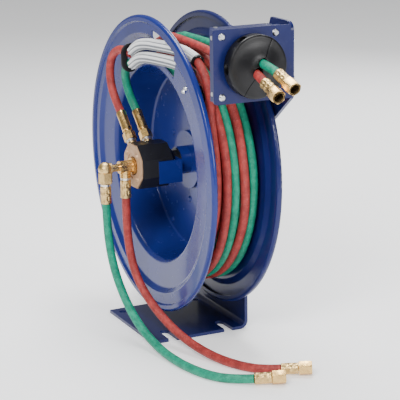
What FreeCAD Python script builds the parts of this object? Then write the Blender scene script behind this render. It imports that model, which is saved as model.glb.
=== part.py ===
"""Spring-rewind twin hose reel for oxygen and fuel gas, as a parametric assembly.

The spool turns about a fixed axle that stands out of an L-shaped pedestal.
X is the spool's axis, with the open, swivel side at -X and the pedestal's
upright at +X.  The hoses leave at the front, -Y.  +Z is up, and the origin is
the middle of the base's underside.  Lengths are millimetres.
"""
import FreeCAD, Part
import math
import os
import Sketcher
from FreeCAD import Placement, Rotation, Vector

SIZES = [
    ("hose_diameter", 12.7, "outside of one welding hose"),
    ("nut_across_flats", 17.5, "B-size union nut, 11/16 inch"),
    ("thread_radius", 6.8, "bore of the union nut's 9/16-18 thread"),
    ("base_length", 158.0, "base plate along X"),
    ("base_depth", 165.0, "base plate along Y"),
    ("plate_thickness", 5.0, "pedestal and arm plate"),
    ("bend_radius", 8.0, "inside of the pedestal's bend"),
    ("slot_width", 14.0, "open slots in the base's front edge"),
    ("slot_length", 38.0, "depth of the open slots"),
    ("slot_spacing", 92.0, "between the two open slots"),
    ("bolt_hole_radius", 5.5, "rear fixing holes"),
    ("bolt_hole_spacing", 126.0, "between the rear fixing holes"),
    ("bolt_hole_inset", 18.0, "rear holes from the base's back edge"),
    ("axle_height", 253.0, "spool axis above the floor"),
    ("axle_radius", 12.5, "fixed axle"),
    ("disc_radius", 222.0, "spool disc, outside"),
    ("disc_sheet", 2.0, "sheet of the discs"),
    ("curl_radius", 4.5, "rolled rim"),
    ("disc_gap", 10.0, "far rim to the upright"),
    ("spool_width", 109.5, "rim to rim"),
    ("rim_step", 27.0, "rim to the disc's inner step"),
    ("annulus_depth", 8.0, "disc face behind its rim"),
    ("drum_radius", 148.0, "drum at the lips"),
    ("drum_taper", 11.0, "drum at the webs, smaller by this"),
    ("web_inset", 69.5, "joint of the two webs, in from the near rim"),
    ("running_clearance", 0.05, "bush on axle, roller on pin, pivots"),
    ("bush_wall", 2.5, "plain bush"),
    ("hub_wall", 6.0, "hub tube"),
    ("hub_flange_radius", 44.0, "hub flange on the web"),
    ("case_gap", 17.0, "round the spring case, in the far disc's bowl"),
    ("case_wall", 1.5, "spring case and cover sheet"),
    ("spring_turns", 9.0, "turns of the power spring"),
    ("spring_strip", 1.6, "strip thickness with its coating"),
    ("spring_width", 20.0, "strip width"),
    ("ratchet_radius", 46.0, "ratchet wheel, outside"),
    ("ratchet_notches", 4.0, "notches round the ratchet wheel"),
    ("block_radius", 33.0, "swivel block, to its flats"),
    ("block_length", 57.0, "swivel block along X"),
    ("block_overhang", 20.5, "swivel block's outer face, out from the near rim"),
    ("flange_plate", 3.0, "brass plate on the swivel block"),
    ("stem_radius", 8.0, "swivel stem inside the block"),
    ("port_lean", 45.0, "outlet ports, degrees back from straight up"),
    ("coil_depth", 31.0, "two wound layers, radially"),
    ("coil_gap", 0.4, "between neighbouring wound hoses"),
    ("guide_rise", 179.0, "centre of the hose guide above the axle"),
    ("guide_front", -235.0, "face of the guide plate"),
    ("guide_width", 118.0, "guide plate along X"),
    ("guide_tall", 101.0, "guide plate along Z"),
    ("guide_plate_sheet", 3.0, "guide plate"),
    ("window", 60.0, "square window in the guide plate"),
    ("roller_radius", 8.0, "guide rollers"),
    ("roller_length", 58.0, "guide rollers"),
    ("pin_radius", 3.0, "roller pins"),
    ("bumper_radius", 43.5, "rubber hose stop"),
    ("bumper_depth", 19.0, "rubber hose stop, at its rim"),
    ("bumper_crown", 7.0, "rise of the stop's face"),
    ("hose_lean", 30.0, "degrees between the stop's parting line and upright"),
    ("free_gap", 0.3, "air between parts that turn past each other"),
]

doc = FreeCAD.newDocument("HoseReel")
sheet = doc.addObject("Spreadsheet::Sheet", "Sizes")


class Size:
    """A length that carries its number and the sheet expression behind it."""

    def __init__(self, number, text):
        self.number = float(number)
        self.text = text

    @staticmethod
    def of(value):
        """Return value as a Size."""
        return value if isinstance(value, Size) else Size(value, repr(float(value)))

    def __add__(self, other):
        other = Size.of(other)
        return Size(self.number + other.number, f"({self.text} + {other.text})")

    def __radd__(self, other):
        return Size.of(other) + self

    def __sub__(self, other):
        other = Size.of(other)
        return Size(self.number - other.number, f"({self.text} - {other.text})")

    def __rsub__(self, other):
        return Size.of(other) - self

    def __mul__(self, other):
        other = Size.of(other)
        return Size(self.number * other.number, f"({self.text} * {other.text})")

    def __rmul__(self, other):
        return Size.of(other) * self

    def __truediv__(self, other):
        other = Size.of(other)
        return Size(self.number / other.number, f"({self.text} / {other.text})")

    def __neg__(self):
        return Size(-self.number, f"(-1 * {self.text})")


def fill_sheet():
    """Write the driving dimensions and return them as Sizes by alias."""
    found = {}
    for row, (alias, value, meaning) in enumerate(SIZES, start=1):
        sheet.set(f"A{row}", meaning)
        sheet.set(f"B{row}", str(value))
        sheet.setAlias(f"B{row}", alias)
        found[alias] = Size(value, f"Sizes.{alias}")
    doc.recompute()
    return found


D = fill_sheet()
SUBPARTS = []

# Stations along X, all from the base plate and the gaps.
COIL_RINGS = 6
HALF_BASE = D["base_length"] / 2
UPRIGHT_INNER = HALF_BASE - D["plate_thickness"]
FAR_RIM = UPRIGHT_INNER - D["disc_gap"]
NEAR_RIM = FAR_RIM - D["spool_width"]
HEIGHT = D["axle_height"]
WEB_STATION = NEAR_RIM + D["web_inset"]
BLOCK_START = NEAR_RIM - D["block_overhang"]
GUIDE_LEVEL = HEIGHT + D["guide_rise"]
NEAR_LIP = NEAR_RIM + D["annulus_depth"] + 3
FAR_LIP = FAR_RIM - D["annulus_depth"]
WEB_RADIUS = D["drum_radius"] - D["drum_taper"]
CASE_RADIUS = WEB_RADIUS - D["case_gap"]
BLOCK_END = BLOCK_START + D["block_length"]
CASE_START = WEB_STATION + D["disc_sheet"] * 2
CASE_END = CASE_START + D["spring_width"] + 4
BUSH_BORE = D["axle_radius"] + D["running_clearance"]
HUB_BORE = BUSH_BORE + D["bush_wall"]
HUB_RADIUS = HUB_BORE + D["hub_wall"]
HOSE_RADIUS = D["hose_diameter"] / 2
COIL_START = NEAR_LIP + 3
HUB_START = WEB_STATION - 21
AXLE_START = HUB_START - 10
COIL_PITCH = (FAR_LIP - D["disc_sheet"] - 1.5 - COIL_START) / COIL_RINGS
COIL_INNER = D["drum_radius"] + 0.8
COIL_OUTER = COIL_INNER + D["coil_depth"]
ARM_INNER = UPRIGHT_INNER - D["plate_thickness"]
GUIDE_RIGHT = ARM_INNER
GUIDE_CENTRE = GUIDE_RIGHT - D["guide_width"] / 2 - 1
GUIDE_BACK = D["guide_front"] + D["guide_plate_sheet"]


def bind(thing, name, value):
    """Set a property to a Size's number and tie it to the sheet."""
    size = Size.of(value)
    setattr(thing, name, size.number)
    if "Sizes." in size.text:
        thing.setExpression(name, size.text)


def place(thing, at, rotation=None):
    """Put an object at a point whose coordinates may be Sizes."""
    numbers = [Size.of(value).number for value in at]
    thing.Placement = Placement(Vector(*numbers), rotation or Rotation())
    for axis, value in zip("xyz", at):
        if isinstance(value, Size):
            thing.setExpression(f"Placement.Base.{axis}", value.text)
    return thing


def towards(direction):
    """Rotation that takes +Z to a direction."""
    return Rotation(Vector(0, 0, 1), Vector(*direction))


def keep(thing, label):
    """Register an object as the sub-part called label."""
    thing.Label = label
    SUBPARTS.append(thing)
    return thing


def unused(base):
    """Return a free object name."""
    return f"{base}_{len(doc.Objects)}"


def box(size, at, rotation=None):
    """Box from its low corner."""
    thing = doc.addObject("Part::Box", unused("Box"))
    for name, value in zip(("Length", "Width", "Height"), size):
        bind(thing, name, value)
    return place(thing, at, rotation)


def rod(radius, length, at, direction=(0, 0, 1)):
    """Cylinder from the middle of its first face."""
    thing = doc.addObject("Part::Cylinder", unused("Rod"))
    bind(thing, "Radius", radius)
    bind(thing, "Height", length)
    return place(thing, at, towards(direction))


def cone(radius, end_radius, length, at, direction=(0, 0, 1)):
    """Cone frustum from the middle of its first face."""
    thing = doc.addObject("Part::Cone", unused("Cone"))
    bind(thing, "Radius1", radius)
    bind(thing, "Radius2", end_radius)
    bind(thing, "Height", length)
    return place(thing, at, towards(direction))


def prism(sides, flat_radius, length, at, direction=(0, 0, 1), twist=0.0):
    """Regular prism given by its flats; twist turns it about its axis."""
    thing = doc.addObject("Part::Prism", unused("Prism"))
    thing.Polygon = sides
    bind(thing, "Circumradius", Size.of(flat_radius) / math.cos(math.pi / sides))
    bind(thing, "Height", length)
    return place(thing, at, towards(direction) * Rotation(Vector(0, 0, 1), twist))


def fuse(parts):
    """Union of several objects."""
    thing = doc.addObject("Part::MultiFuse", unused("Fuse"))
    thing.Shapes = parts
    thing.Refine = True
    return thing


def cut(base, tools):
    """Base less one or more tools."""
    thing = doc.addObject("Part::Cut", unused("Cut"))
    thing.Base = base
    thing.Tool = tools[0] if len(tools) == 1 else fuse(tools)
    return thing


def group(parts):
    """Separate solids that share a sub-part."""
    thing = doc.addObject("Part::Compound", unused("Group"))
    thing.Links = parts
    return thing


def outline_sketch(body, role, points):
    """Closed sketch of straight lines, each corner tied to the sheet."""
    sketch = body.newObject("Sketcher::SketchObject", unused("Outline"))
    plane = [item for item in body.Origin.OriginFeatures if item.Role == role][0]
    sketch.AttachmentSupport = [(plane, "")]
    sketch.MapMode = "FlatFace"
    corners = [(Size.of(u), Size.of(v)) for u, v in points]
    vectors = [Vector(u.number, v.number, 0) for u, v in corners]
    count = len(vectors)
    for index in range(count):
        sketch.addGeometry(Part.LineSegment(vectors[index], vectors[(index + 1) % count]))
    for index in range(count):
        sketch.addConstraint(Sketcher.Constraint("Coincident", index, 2, (index + 1) % count, 1))
    for index, corner in enumerate(corners):
        for kind, value in zip(("DistanceX", "DistanceY"), corner):
            rule = sketch.addConstraint(
                Sketcher.Constraint(kind, -1, 1, index, 1, value.number))
            if "Sizes." in value.text:
                sketch.setExpression(f"Constraints[{rule}]", value.text)
    return sketch


def near(first, second, tolerance=0.02):
    """Whether two numbers agree."""
    return abs(first - second) < tolerance


def spun(points, rounds=()):
    """Body turned about the spool axis from (station, radius) corners.

    rounds lists (station, radius, fillet) for the corners to round.
    """
    body = doc.addObject("PartDesign::Body", unused("Spun"))
    sketch = outline_sketch(body, "XZ_Plane", points)
    turned = body.newObject("PartDesign::Revolution", unused("Revolution"))
    turned.Profile = sketch
    turned.ReferenceAxis = (sketch, ["H_Axis"])
    turned.Angle = 360
    doc.recompute()
    for station, radius, fillet in rounds:
        station, radius = Size.of(station), Size.of(radius)
        shape = body.Tip.Shape
        names = [
            f"Edge{number}" for number, edge in enumerate(shape.Edges, start=1)
            if isinstance(edge.Curve, Part.Circle)
            and near(edge.Curve.Radius, radius.number)
            and near(edge.Curve.Center.x, station.number)]
        sharp = body.Tip
        rounded = body.newObject("PartDesign::Fillet", unused("Fillet"))
        rounded.Base = (sharp, names)
        bind(rounded, "Radius", fillet)
        doc.recompute()
    return place(body, (0, 0, HEIGHT))


def padded(role, points, thickness, at, rounds=()):
    """Body padded from an outline; rounds lists (u, v, fillet) corners."""
    body = doc.addObject("PartDesign::Body", unused("Plate"))
    sketch = outline_sketch(body, role, points)
    pad = body.newObject("PartDesign::Pad", unused("Pad"))
    pad.Profile = sketch
    bind(pad, "Length", thickness)
    doc.recompute()
    pick = {"XY_Plane": "xy", "XZ_Plane": "xz", "YZ_Plane": "yz"}[role]
    for u, v, fillet in rounds:
        spot = (Size.of(u).number, Size.of(v).number)
        names = []
        for number, edge in enumerate(body.Tip.Shape.Edges, start=1):
            ends = [vertex.Point for vertex in edge.Vertexes]
            if all(near(getattr(end, axis), value) for end in ends
                   for axis, value in zip(pick, spot)):
                names.append(f"Edge{number}")
        sharp = body.Tip
        rounded = body.newObject("PartDesign::Fillet", unused("Fillet"))
        rounded.Base = (sharp, names)
        bind(rounded, "Radius", fillet)
        doc.recompute()
    return place(body, at)


def on_circle(radius, degrees, station):
    """Point on a circle about the spool axis; 0 is up and 90 is the front."""
    angle = math.radians(degrees)
    return (station, radius * -math.sin(angle), HEIGHT + radius * math.cos(angle))


def stack(at, direction, steps, bore=None):
    """Turned piece: steps of (sides or 0, radius, length) laid end to end."""
    parts = []
    start = Size.of(0)
    for sides, radius, length in steps:
        spot = (0, 0, start)
        parts.append(prism(sides, radius, length, spot) if sides
                     else rod(radius, length, spot))
        start = start + length
    piece = fuse(parts) if len(parts) > 1 else parts[0]
    if bore:
        radius, depth, length = bore
        piece = cut(piece, [rod(radius, length, (0, 0, depth))])
    return place(piece, at, towards(direction))


def button_screw(at, direction, shank=2.5, head=5.0, length=8.0):
    """Domed screw whose shank points along direction."""
    start = Vector(*[Size.of(value).number for value in at])
    back = [start[i] - direction[i] * 2.4 for i in range(3)]
    dome = cone(head * 0.62, head, 2.4, back, direction)
    return fuse([dome, rod(shank, length, at, direction)])


def swept_tube(route, radius):
    """Tube along straight runs joined by the largest tangent arcs.

    Each arc's radius is 0.45 of its shorter run over the tangent of half the
    turn.  Returns the solid, the length of its path and the arcs' radii.
    """
    points = [Vector(*point) for point in route]
    edges, radii = [], []
    start = points[0]
    for before, corner, after in zip(points, points[1:], points[2:]):
        inward = (corner - before).normalize()
        outward = (after - corner).normalize()
        turn = inward.getAngle(outward)
        shorter = min((corner - before).Length, (after - corner).Length)
        setback = 0.45 * shorter
        radii.append(setback / math.tan(turn / 2))
        first = corner - inward * setback
        last = corner + outward * setback
        bisector = (outward - inward).normalize()
        reach = radii[-1] / math.cos(turn / 2) - radii[-1]
        edges.append(Part.LineSegment(start, first).toShape())
        edges.append(Part.Arc(first, corner + bisector * reach, last).toShape())
        start = last
    edges.append(Part.LineSegment(start, points[-1]).toShape())
    path = Part.Wire(edges)
    circle = Part.Circle(points[0], (points[1] - points[0]).normalize(), radius)
    ring = Part.Wire([circle.toShape()])
    solid = path.makePipeShell([ring], True, False)
    return solid, path.Length, radii


def hose(label, route, radius=None):
    """Tube along a route, with its radii printed."""
    radius = radius or HOSE_RADIUS.number
    solid, length, radii = swept_tube(route, radius)
    expected = math.pi * radius ** 2 * length
    print(f"{label}: length {length:.0f} mm, volume ratio {solid.Volume / expected:.4f},"
          f" radii {[round(value) for value in radii]}")
    thing = doc.addObject("Part::Feature", unused("Hose"))
    thing.Shape = solid
    return thing


def unit(first, last):
    """Direction from one point to another."""
    return tuple((Vector(*last) - Vector(*first)).normalize())


def along(start, direction, distance):
    """Point at a distance from start."""
    return tuple(start[i] + direction[i] * distance for i in range(3))


# ---------------------------------------------------------------- pedestal

def make_pedestal():
    """Bent plate: base with front slots and rear holes, and the upright."""
    half_depth = D["base_depth"] / 2
    thick = D["plate_thickness"]
    top = HEIGHT + 48
    profile = [(-HALF_BASE, 0), (HALF_BASE, 0), (HALF_BASE, top), (UPRIGHT_INNER, top),
               (UPRIGHT_INNER, thick), (-HALF_BASE, thick)]
    outer = D["bend_radius"] + thick
    plate = padded("XZ_Plane", profile, D["base_depth"], (0, half_depth, 0),
                   [(HALF_BASE, 0, outer), (UPRIGHT_INNER, thick, D["bend_radius"])])
    cutters = []
    shoulder, reach = Size.of(62.0), half_depth + 5
    for side in (-1, 1):
        taper = padded("YZ_Plane",
                       [(side * reach, shoulder), (side * half_depth, shoulder),
                        (side * 48.0, HEIGHT - 14), (side * 48.0, HEIGHT + 14),
                        (side * 20.0, top), (side * 20.0, top + 5), (side * reach, top + 5)],
                       thick + 4, (UPRIGHT_INNER - 2, 0, 0))
        cutters.append(taper)
        slot_at = D["slot_spacing"] / 2 * side
        straight = D["slot_length"] - D["slot_width"] / 2
        cutters.append(box((D["slot_width"], straight + 2, thick + 4),
                           (slot_at - D["slot_width"] / 2, -half_depth - 2, -2)))
        cutters.append(rod(D["slot_width"] / 2, thick + 4,
                           (slot_at, straight - half_depth, -2)))
        cutters.append(rod(D["bolt_hole_radius"], thick + 4,
                           (D["bolt_hole_spacing"] / 2 * side - 2,
                            half_depth - D["bolt_hole_inset"], -2)))
    cutters.append(rod(D["axle_radius"] - 2.5, thick + 4, (UPRIGHT_INNER - 2, 0, HEIGHT),
                       (1, 0, 0)))
    for y, z in arm_bolt_spots():
        cutters.append(rod(4.2, thick + 4, (UPRIGHT_INNER - 2, y, HEIGHT + z), (1, 0, 0)))
    return keep(cut(plate, cutters), "pedestal")


def arm_bolt_spots():
    """Bolts that hold the guide arm to the upright, from the axle."""
    return [(-34.0, 14.0), (-34.0, -14.0), (20.0, 32.0)]


def make_axle():
    """Fixed axle with a shoulder against the upright and a threaded tail."""
    start = AXLE_START
    main = rod(D["axle_radius"], ARM_INNER - start, (start, 0, HEIGHT), (1, 0, 0))
    tail = rod(D["axle_radius"] - 2.7, HALF_BASE + 16 - ARM_INNER,
               (ARM_INNER, 0, HEIGHT), (1, 0, 0))
    slot = box((D["spring_width"], 2.0, 6.0),
               (CASE_START + 2, -1.0, HEIGHT + D["axle_radius"] - 3))
    return keep(cut(fuse([main, tail]), [slot]), "axle")


def make_axle_nut():
    """Washer and lock nut outside the upright."""
    bore = D["axle_radius"] - 2.5
    washer = stack((HALF_BASE, 0, HEIGHT), (1, 0, 0), [(0, 20.0, 2.5)], (bore, -1, 6))
    nut = stack((HALF_BASE + 2.5, 0, HEIGHT), (1, 0, 0), [(6, 15.0, 10.0)], (bore, -1, 14))
    return keep(group([washer, nut]), "axle_nut")


def make_guide_arm():
    """Flat arm from the axle to the hose guide."""
    front = D["guide_front"] + 1
    top = GUIDE_LEVEL + D["guide_tall"] / 2 + 3
    bottom = GUIDE_LEVEL - D["guide_tall"] / 2
    points = [(front, bottom), (-176.0, HEIGHT + 84), (-48.0, HEIGHT - 30),
              (30.0, HEIGHT - 30), (30.0, HEIGHT + 46), (-20.0, HEIGHT + 46),
              (-168.0, top - 16), (-176.0, top), (front, top)]
    rounds = [(front, top, 12.0), (30.0, HEIGHT - 30, 14.0), (30.0, HEIGHT + 46, 14.0),
              (front, bottom, 6.0)]
    plate = padded("YZ_Plane", points, D["plate_thickness"], (ARM_INNER, 0, 0), rounds)
    holes = [rod(D["axle_radius"] - 2.5, 12, (ARM_INNER - 3, 0, HEIGHT), (1, 0, 0))]
    holes += [rod(4.2, 12, (ARM_INNER - 3, y, HEIGHT + z), (1, 0, 0))
              for y, z in arm_bolt_spots()]
    holes += [rod(3.2, 12, (ARM_INNER - 3, y, GUIDE_LEVEL + z), (1, 0, 0))
              for y, z in guide_bolt_spots()]
    return keep(cut(plate, holes), "guide_arm")


def guide_bolt_spots():
    """Bolts from the guide plate's flange to the arm, from the guide."""
    return [(-221.0, 26.0), (-221.0, -26.0)]


def hex_bolt(at, direction, shank, head, grip):
    """Hex bolt with its nut, across a grip."""
    start = along([Size.of(value).number for value in at], direction, -shank)
    end = along([Size.of(value).number for value in at], direction, grip)
    parts = [prism(6, head, shank, start, direction),
             rod(shank - 0.1, grip + head + 2, at, direction),
             prism(6, head, shank * 1.1, end, direction)]
    return fuse(parts)


def make_arm_bolts():
    """Bolts and nuts of the guide arm, at the upright and at the guide."""
    plate, thin = D["plate_thickness"].number, D["guide_plate_sheet"].number
    bolts = [hex_bolt((ARM_INNER, y, HEIGHT + z), (1, 0, 0), 4.0, 6.5, plate * 2)
             for y, z in arm_bolt_spots()]
    bolts += [hex_bolt((ARM_INNER - thin, y, GUIDE_LEVEL + z), (1, 0, 0), 3.0, 5.0,
                       plate + thin)
              for y, z in guide_bolt_spots()]
    return keep(group(bolts), "arm_bolts")


# -------------------------------------------------------------- hose guide

def make_guide_plate():
    """Front plate with a square window and a flange bent back to the arm."""
    sheet_t = D["guide_plate_sheet"]
    left = GUIDE_RIGHT - D["guide_width"]
    low = GUIDE_LEVEL - D["guide_tall"] / 2
    high = GUIDE_LEVEL + D["guide_tall"] / 2
    face = padded("XZ_Plane", [(left, low), (GUIDE_RIGHT, low), (GUIDE_RIGHT, high),
                               (left, high)],
                  sheet_t, (0, GUIDE_BACK, 0), [(left, low, 6.0), (left, high, 6.0)])
    flange = box((sheet_t, 30.0, D["guide_tall"] - 8),
                 (GUIDE_RIGHT - sheet_t, D["guide_front"], low + 4))
    window = box((D["window"], 12.0, D["window"]),
                 (GUIDE_CENTRE - D["window"] / 2, D["guide_front"] - 5,
                  GUIDE_LEVEL - D["window"] / 2))
    holes = [rod(2.7, 12, (x, D["guide_front"] - 5, z), (0, 1, 0))
             for x, z in corner_spots()]
    holes += [rod(3.2, 12, (GUIDE_RIGHT - 8, y, GUIDE_LEVEL + z), (1, 0, 0))
              for y, z in guide_bolt_spots()]
    return keep(cut(fuse([face, flange]), [window] + holes), "guide_plate")


def corner_spots():
    """Screws at the corners of the guide plate."""
    across, up = D["guide_width"] / 2 - 18.5, D["guide_tall"] / 2 - 9.7
    return [(GUIDE_CENTRE - 4.6 + across * sx, GUIDE_LEVEL + up * sz)
            for sx in (-1, 1) for sz in (-1, 1)]


def make_guide_screws():
    """Domed screws through the guide plate, with lock nuts behind."""
    screws = []
    for x, z in corner_spots():
        screw = button_screw((x, D["guide_front"].number, z), (0, 1, 0), 2.6, 5.0, 12.0)
        nut = prism(6, 4.0, 4.0, (x, GUIDE_BACK + 2.0, z), (0, 1, 0))
        screws.append(fuse([screw, nut]))
    return keep(group(screws), "guide_screws")


def roller_reach():
    """Distance from the guide's centre to a roller's axis."""
    return D["window"] / 2 + D["roller_radius"]


def make_roller_frame():
    """Open box behind the guide plate that carries the four roller pins."""
    wall = Size.of(2.0)
    reach = roller_reach() + D["roller_radius"] + 6
    depth = Size.of(36.0)
    outer = box((reach * 2, depth, D["guide_tall"] - 4),
                (GUIDE_CENTRE - reach, GUIDE_BACK,
                 GUIDE_LEVEL - D["guide_tall"] / 2 + 2))
    inner = box((reach * 2 - wall * 2, depth + 4, D["guide_tall"] - 4 - wall * 2),
                (GUIDE_CENTRE - reach + wall, GUIDE_BACK + wall,
                 GUIDE_LEVEL - D["guide_tall"] / 2 + 2 + wall))
    window = box((D["window"] + 1, 12.0, D["window"] + 1),
                 (GUIDE_CENTRE - D["window"] / 2 - 0.5, GUIDE_BACK - 5,
                  GUIDE_LEVEL - D["window"] / 2 - 0.5))
    sides = [box((12.0, depth, D["guide_tall"]),
                 (GUIDE_CENTRE + (reach - 2) * side - 6, GUIDE_BACK + 20,
                  GUIDE_LEVEL - D["guide_tall"] / 2))
             for side in (-1, 1)]
    cutters = [inner, window] + sides
    cutters += [rod(2.7, 12, (x, GUIDE_BACK - 5, z), (0, 1, 0)) for x, z in corner_spots()]
    bracket = cut(outer, cutters)
    pins = [pin_hole(*spot) for spot in roller_pins()]
    return keep(cut(bracket, pins), "roller_frame")


ROLLER_ROWS = {"upper": (0, 1), "lower": (0, -1), "left": (-1, 0), "right": (1, 0)}


def roller_axis(name):
    """Centre and direction of a guide roller."""
    sx, sz = ROLLER_ROWS[name]
    level = GUIDE_BACK + (13 if sx == 0 else 13 + D["roller_radius"] * 2 + 1)
    centre = (GUIDE_CENTRE + roller_reach() * sx, level, GUIDE_LEVEL + roller_reach() * sz)
    return centre, ((1, 0, 0) if sx == 0 else (0, 0, 1))


def roller_pins():
    """Start, direction and length of each roller pin."""
    found = []
    for name in ROLLER_ROWS:
        centre, direction = roller_axis(name)
        half = (roller_reach() + D["roller_radius"] + 7 if direction[0]
                else D["guide_tall"] / 2 - 1)
        start = tuple(value - half * step if step else value
                      for value, step in zip(centre, direction))
        found.append((start, direction, half * 2))
    return found


def pin_hole(start, direction, length):
    """Hole for a roller pin in the roller frame."""
    return rod(D["pin_radius"], length, start, direction)


def make_roller_pins():
    """The four steel pins."""
    pins = [rod(D["pin_radius"], length, start, direction)
            for start, direction, length in roller_pins()]
    return keep(group(pins), "roller_pins")


def make_roller(name):
    """Plastic roller that turns on its pin."""
    centre, direction = roller_axis(name)
    start = tuple(value - D["roller_length"] / 2 * step if step else value
                  for value, step in zip(centre, direction))
    body = stack(start, direction, [(0, D["roller_radius"], D["roller_length"])],
                 (D["pin_radius"] + D["running_clearance"], -2, D["roller_length"] + 4))
    return keep(body, f"roller_{name}")


STOP_CENTRE = (GUIDE_CENTRE, D["guide_front"], GUIDE_LEVEL - 0.7)
STOP_BOLTS = (-22.0, 22.0)


def stop_local(across, up):
    """Point on the stop's back plane, from its parting line's frame."""
    lean = math.radians(D["hose_lean"].number)
    x = across * math.cos(lean) + up * math.sin(lean)
    z = up * math.cos(lean) - across * math.sin(lean)
    return (STOP_CENTRE[0] + x, STOP_CENTRE[1] - D["bumper_depth"] / 2, STOP_CENTRE[2] + z)


def stop_across(side):
    """Direction across the stop's parting line."""
    lean = math.radians(D["hose_lean"].number)
    return (side * math.cos(lean), 0, -side * math.sin(lean))


def make_stop(label, side):
    """Half of the split rubber stop that is clamped on the two hoses."""
    face = D["guide_front"] - D["bumper_depth"]
    rim = rod(D["bumper_radius"], D["bumper_depth"], STOP_CENTRE, (0, -1, 0))
    crown = cone(D["bumper_radius"], 14.0, D["bumper_crown"],
                 (STOP_CENTRE[0], face, STOP_CENTRE[2]), (0, -1, 0))
    lean = D["hose_lean"].number
    turn = Rotation(Vector(0, 1, 0), lean)
    corner = turn.multVec(Vector(-60.0 if side > 0 else -0.3, -40.0, -60.0))
    other = box((60.3, 60.0, 120.0),
                (STOP_CENTRE[0] + corner.x, STOP_CENTRE[1] + corner.y + 10,
                 STOP_CENTRE[2] + corner.z), turn)
    tools = [other]
    tools += [rod(HOSE_RADIUS, 60, (x, -215.0, z), (0, -1, 0)) for x, z in STOP_HOSES]
    for up in STOP_BOLTS:
        tools.append(rod(2.6, 60, stop_local(-30.0, up), stop_across(1)))
        tools.append(rod(6.2, 40, stop_local(side * 15.0, up), stop_across(side)))
    return keep(cut(fuse([rim, crown]), tools), label)


STOP_HOSES = [(GUIDE_CENTRE + 3.4, GUIDE_LEVEL + 5.6),
              (GUIDE_CENTRE - 3.8, GUIDE_LEVEL - 6.4)]


def make_stop_bolts():
    """Two bolts with nuts that squeeze the stop's halves together."""
    bolts = []
    for up in STOP_BOLTS:
        start = [value.number for value in stop_local(-15.0, up)]
        bolts.append(hex_bolt(start, stop_across(1), 2.5, 4.4, 30.0))
    return keep(group(bolts), "stop_bolts")


# ------------------------------------------------------------------- spool

def sector(radius, length, station, start, sweep):
    """Wedge of a cylinder about the spool axis, from start degrees."""
    thing = doc.addObject("Part::Cylinder", unused("Sector"))
    bind(thing, "Radius", radius)
    bind(thing, "Height", length)
    thing.Angle = sweep
    turn = Rotation(Vector(1, 0, 0), 180.0 + start) * towards((1, 0, 0))
    return place(thing, (station, 0, HEIGHT), turn)


def disc_corners(rim, side, lip, web):
    """Corners of a spool disc: side is +1 where its bowl goes towards +X."""
    sheet_t, edge = D["disc_sheet"] * side, D["disc_radius"]
    curl = D["curl_radius"] * 2
    flat, annulus = rim + 3 * side, rim + D["annulus_depth"] * side
    step = edge - D["rim_step"]
    outer = [(rim, edge), (rim, edge - curl), (flat, edge - curl - 2), (flat, step),
             (annulus, step - 8), (lip, D["drum_radius"] - D["disc_sheet"]),
             (web, WEB_RADIUS - D["disc_sheet"]), (web, HUB_RADIUS)]
    inner = [(web + sheet_t, HUB_RADIUS), (web + sheet_t, WEB_RADIUS),
             (lip + sheet_t, D["drum_radius"]), (annulus + sheet_t, step - 8),
             (flat + sheet_t, step), (flat + sheet_t, edge - curl),
             (rim + curl * side, edge - curl), (rim + curl * side, edge)]
    rounds = [(rim, edge, 4.0), (rim + curl * side, edge, 4.0),
              (flat, step, 3.0), (annulus, step - 8, 5.0),
              (flat + sheet_t, step, 5.0), (annulus + sheet_t, step - 8, 3.0),
              (lip, D["drum_radius"] - D["disc_sheet"], 7.0),
              (lip + sheet_t, D["drum_radius"], 5.0),
              (web, WEB_RADIUS - D["disc_sheet"], 4.0),
              (web + sheet_t, WEB_RADIUS, 6.0)]
    return outer + inner, rounds


WINDOW_SWEEP = (6.0, 23.0)
CLIP_SCREWS = ((42.6, 181.0), (42.2, 172.0))
WEB_BOLTS = 6


def make_near_disc():
    """Open-side disc with a deep bowl and a window for the hose sleeves."""
    corners, rounds = disc_corners(NEAR_RIM, 1, NEAR_LIP, WEB_STATION)
    body = spun(corners, rounds)
    start, sweep = WINDOW_SWEEP
    depth = D["annulus_depth"] + 14
    wedge = sector(D["disc_radius"] - 18, depth, NEAR_RIM - 2, start, sweep)
    core = rod(D["disc_radius"] - 63, depth + 2, (NEAR_RIM - 3, 0, HEIGHT), (1, 0, 0))
    holes = [rod(2.2, 14, on_circle(Size.of(radius), degrees, NEAR_RIM + 2), (1, 0, 0))
             for degrees, radius in CLIP_SCREWS]
    holes += web_holes()
    return keep(cut(body, [cut(wedge, [core])] + holes), "near_disc")


def web_holes():
    """Bolt and rivet holes through the webs."""
    start = WEB_STATION - 3
    holes = [rod(3.1, 12, on_circle(WEB_RADIUS - 11.2, 60 * number + 30, start), (1, 0, 0))
             for number in range(WEB_BOLTS)]
    holes += [rod(2.6, 12, on_circle(Size.of(62.0), 60 * number, start), (1, 0, 0))
              for number in range(WEB_BOLTS)]
    return holes


def make_far_disc():
    """Pedestal-side disc, whose bowl holds the spring case."""
    web = WEB_STATION + D["disc_sheet"] * 2
    corners, rounds = disc_corners(FAR_RIM, -1, FAR_LIP, web)
    return keep(cut(spun(corners, rounds), web_holes()), "far_disc")


def make_web_fasteners():
    """Bolts that join the discs' webs, and rivets through the spring case."""
    fasteners = []
    grip = D["disc_sheet"].number * 2
    for number in range(WEB_BOLTS):
        spot = [Size.of(value).number for value in
                on_circle(WEB_RADIUS - 11.2, 60 * number + 30, WEB_STATION)]
        screw = button_screw(spot, (1, 0, 0), 3.0, 5.2, 9.0)
        nut = prism(6, 4.4, 3.5, along(spot, (1, 0, 0), grip), (1, 0, 0))
        fasteners.append(fuse([screw, nut]))
        spot = on_circle(Size.of(62.0), 60 * number, WEB_STATION)
        fasteners.append(button_screw(spot, (1, 0, 0), 2.5, 4.6,
                                      grip + D["case_wall"].number))
    return keep(group(fasteners), "web_fasteners")


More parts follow.
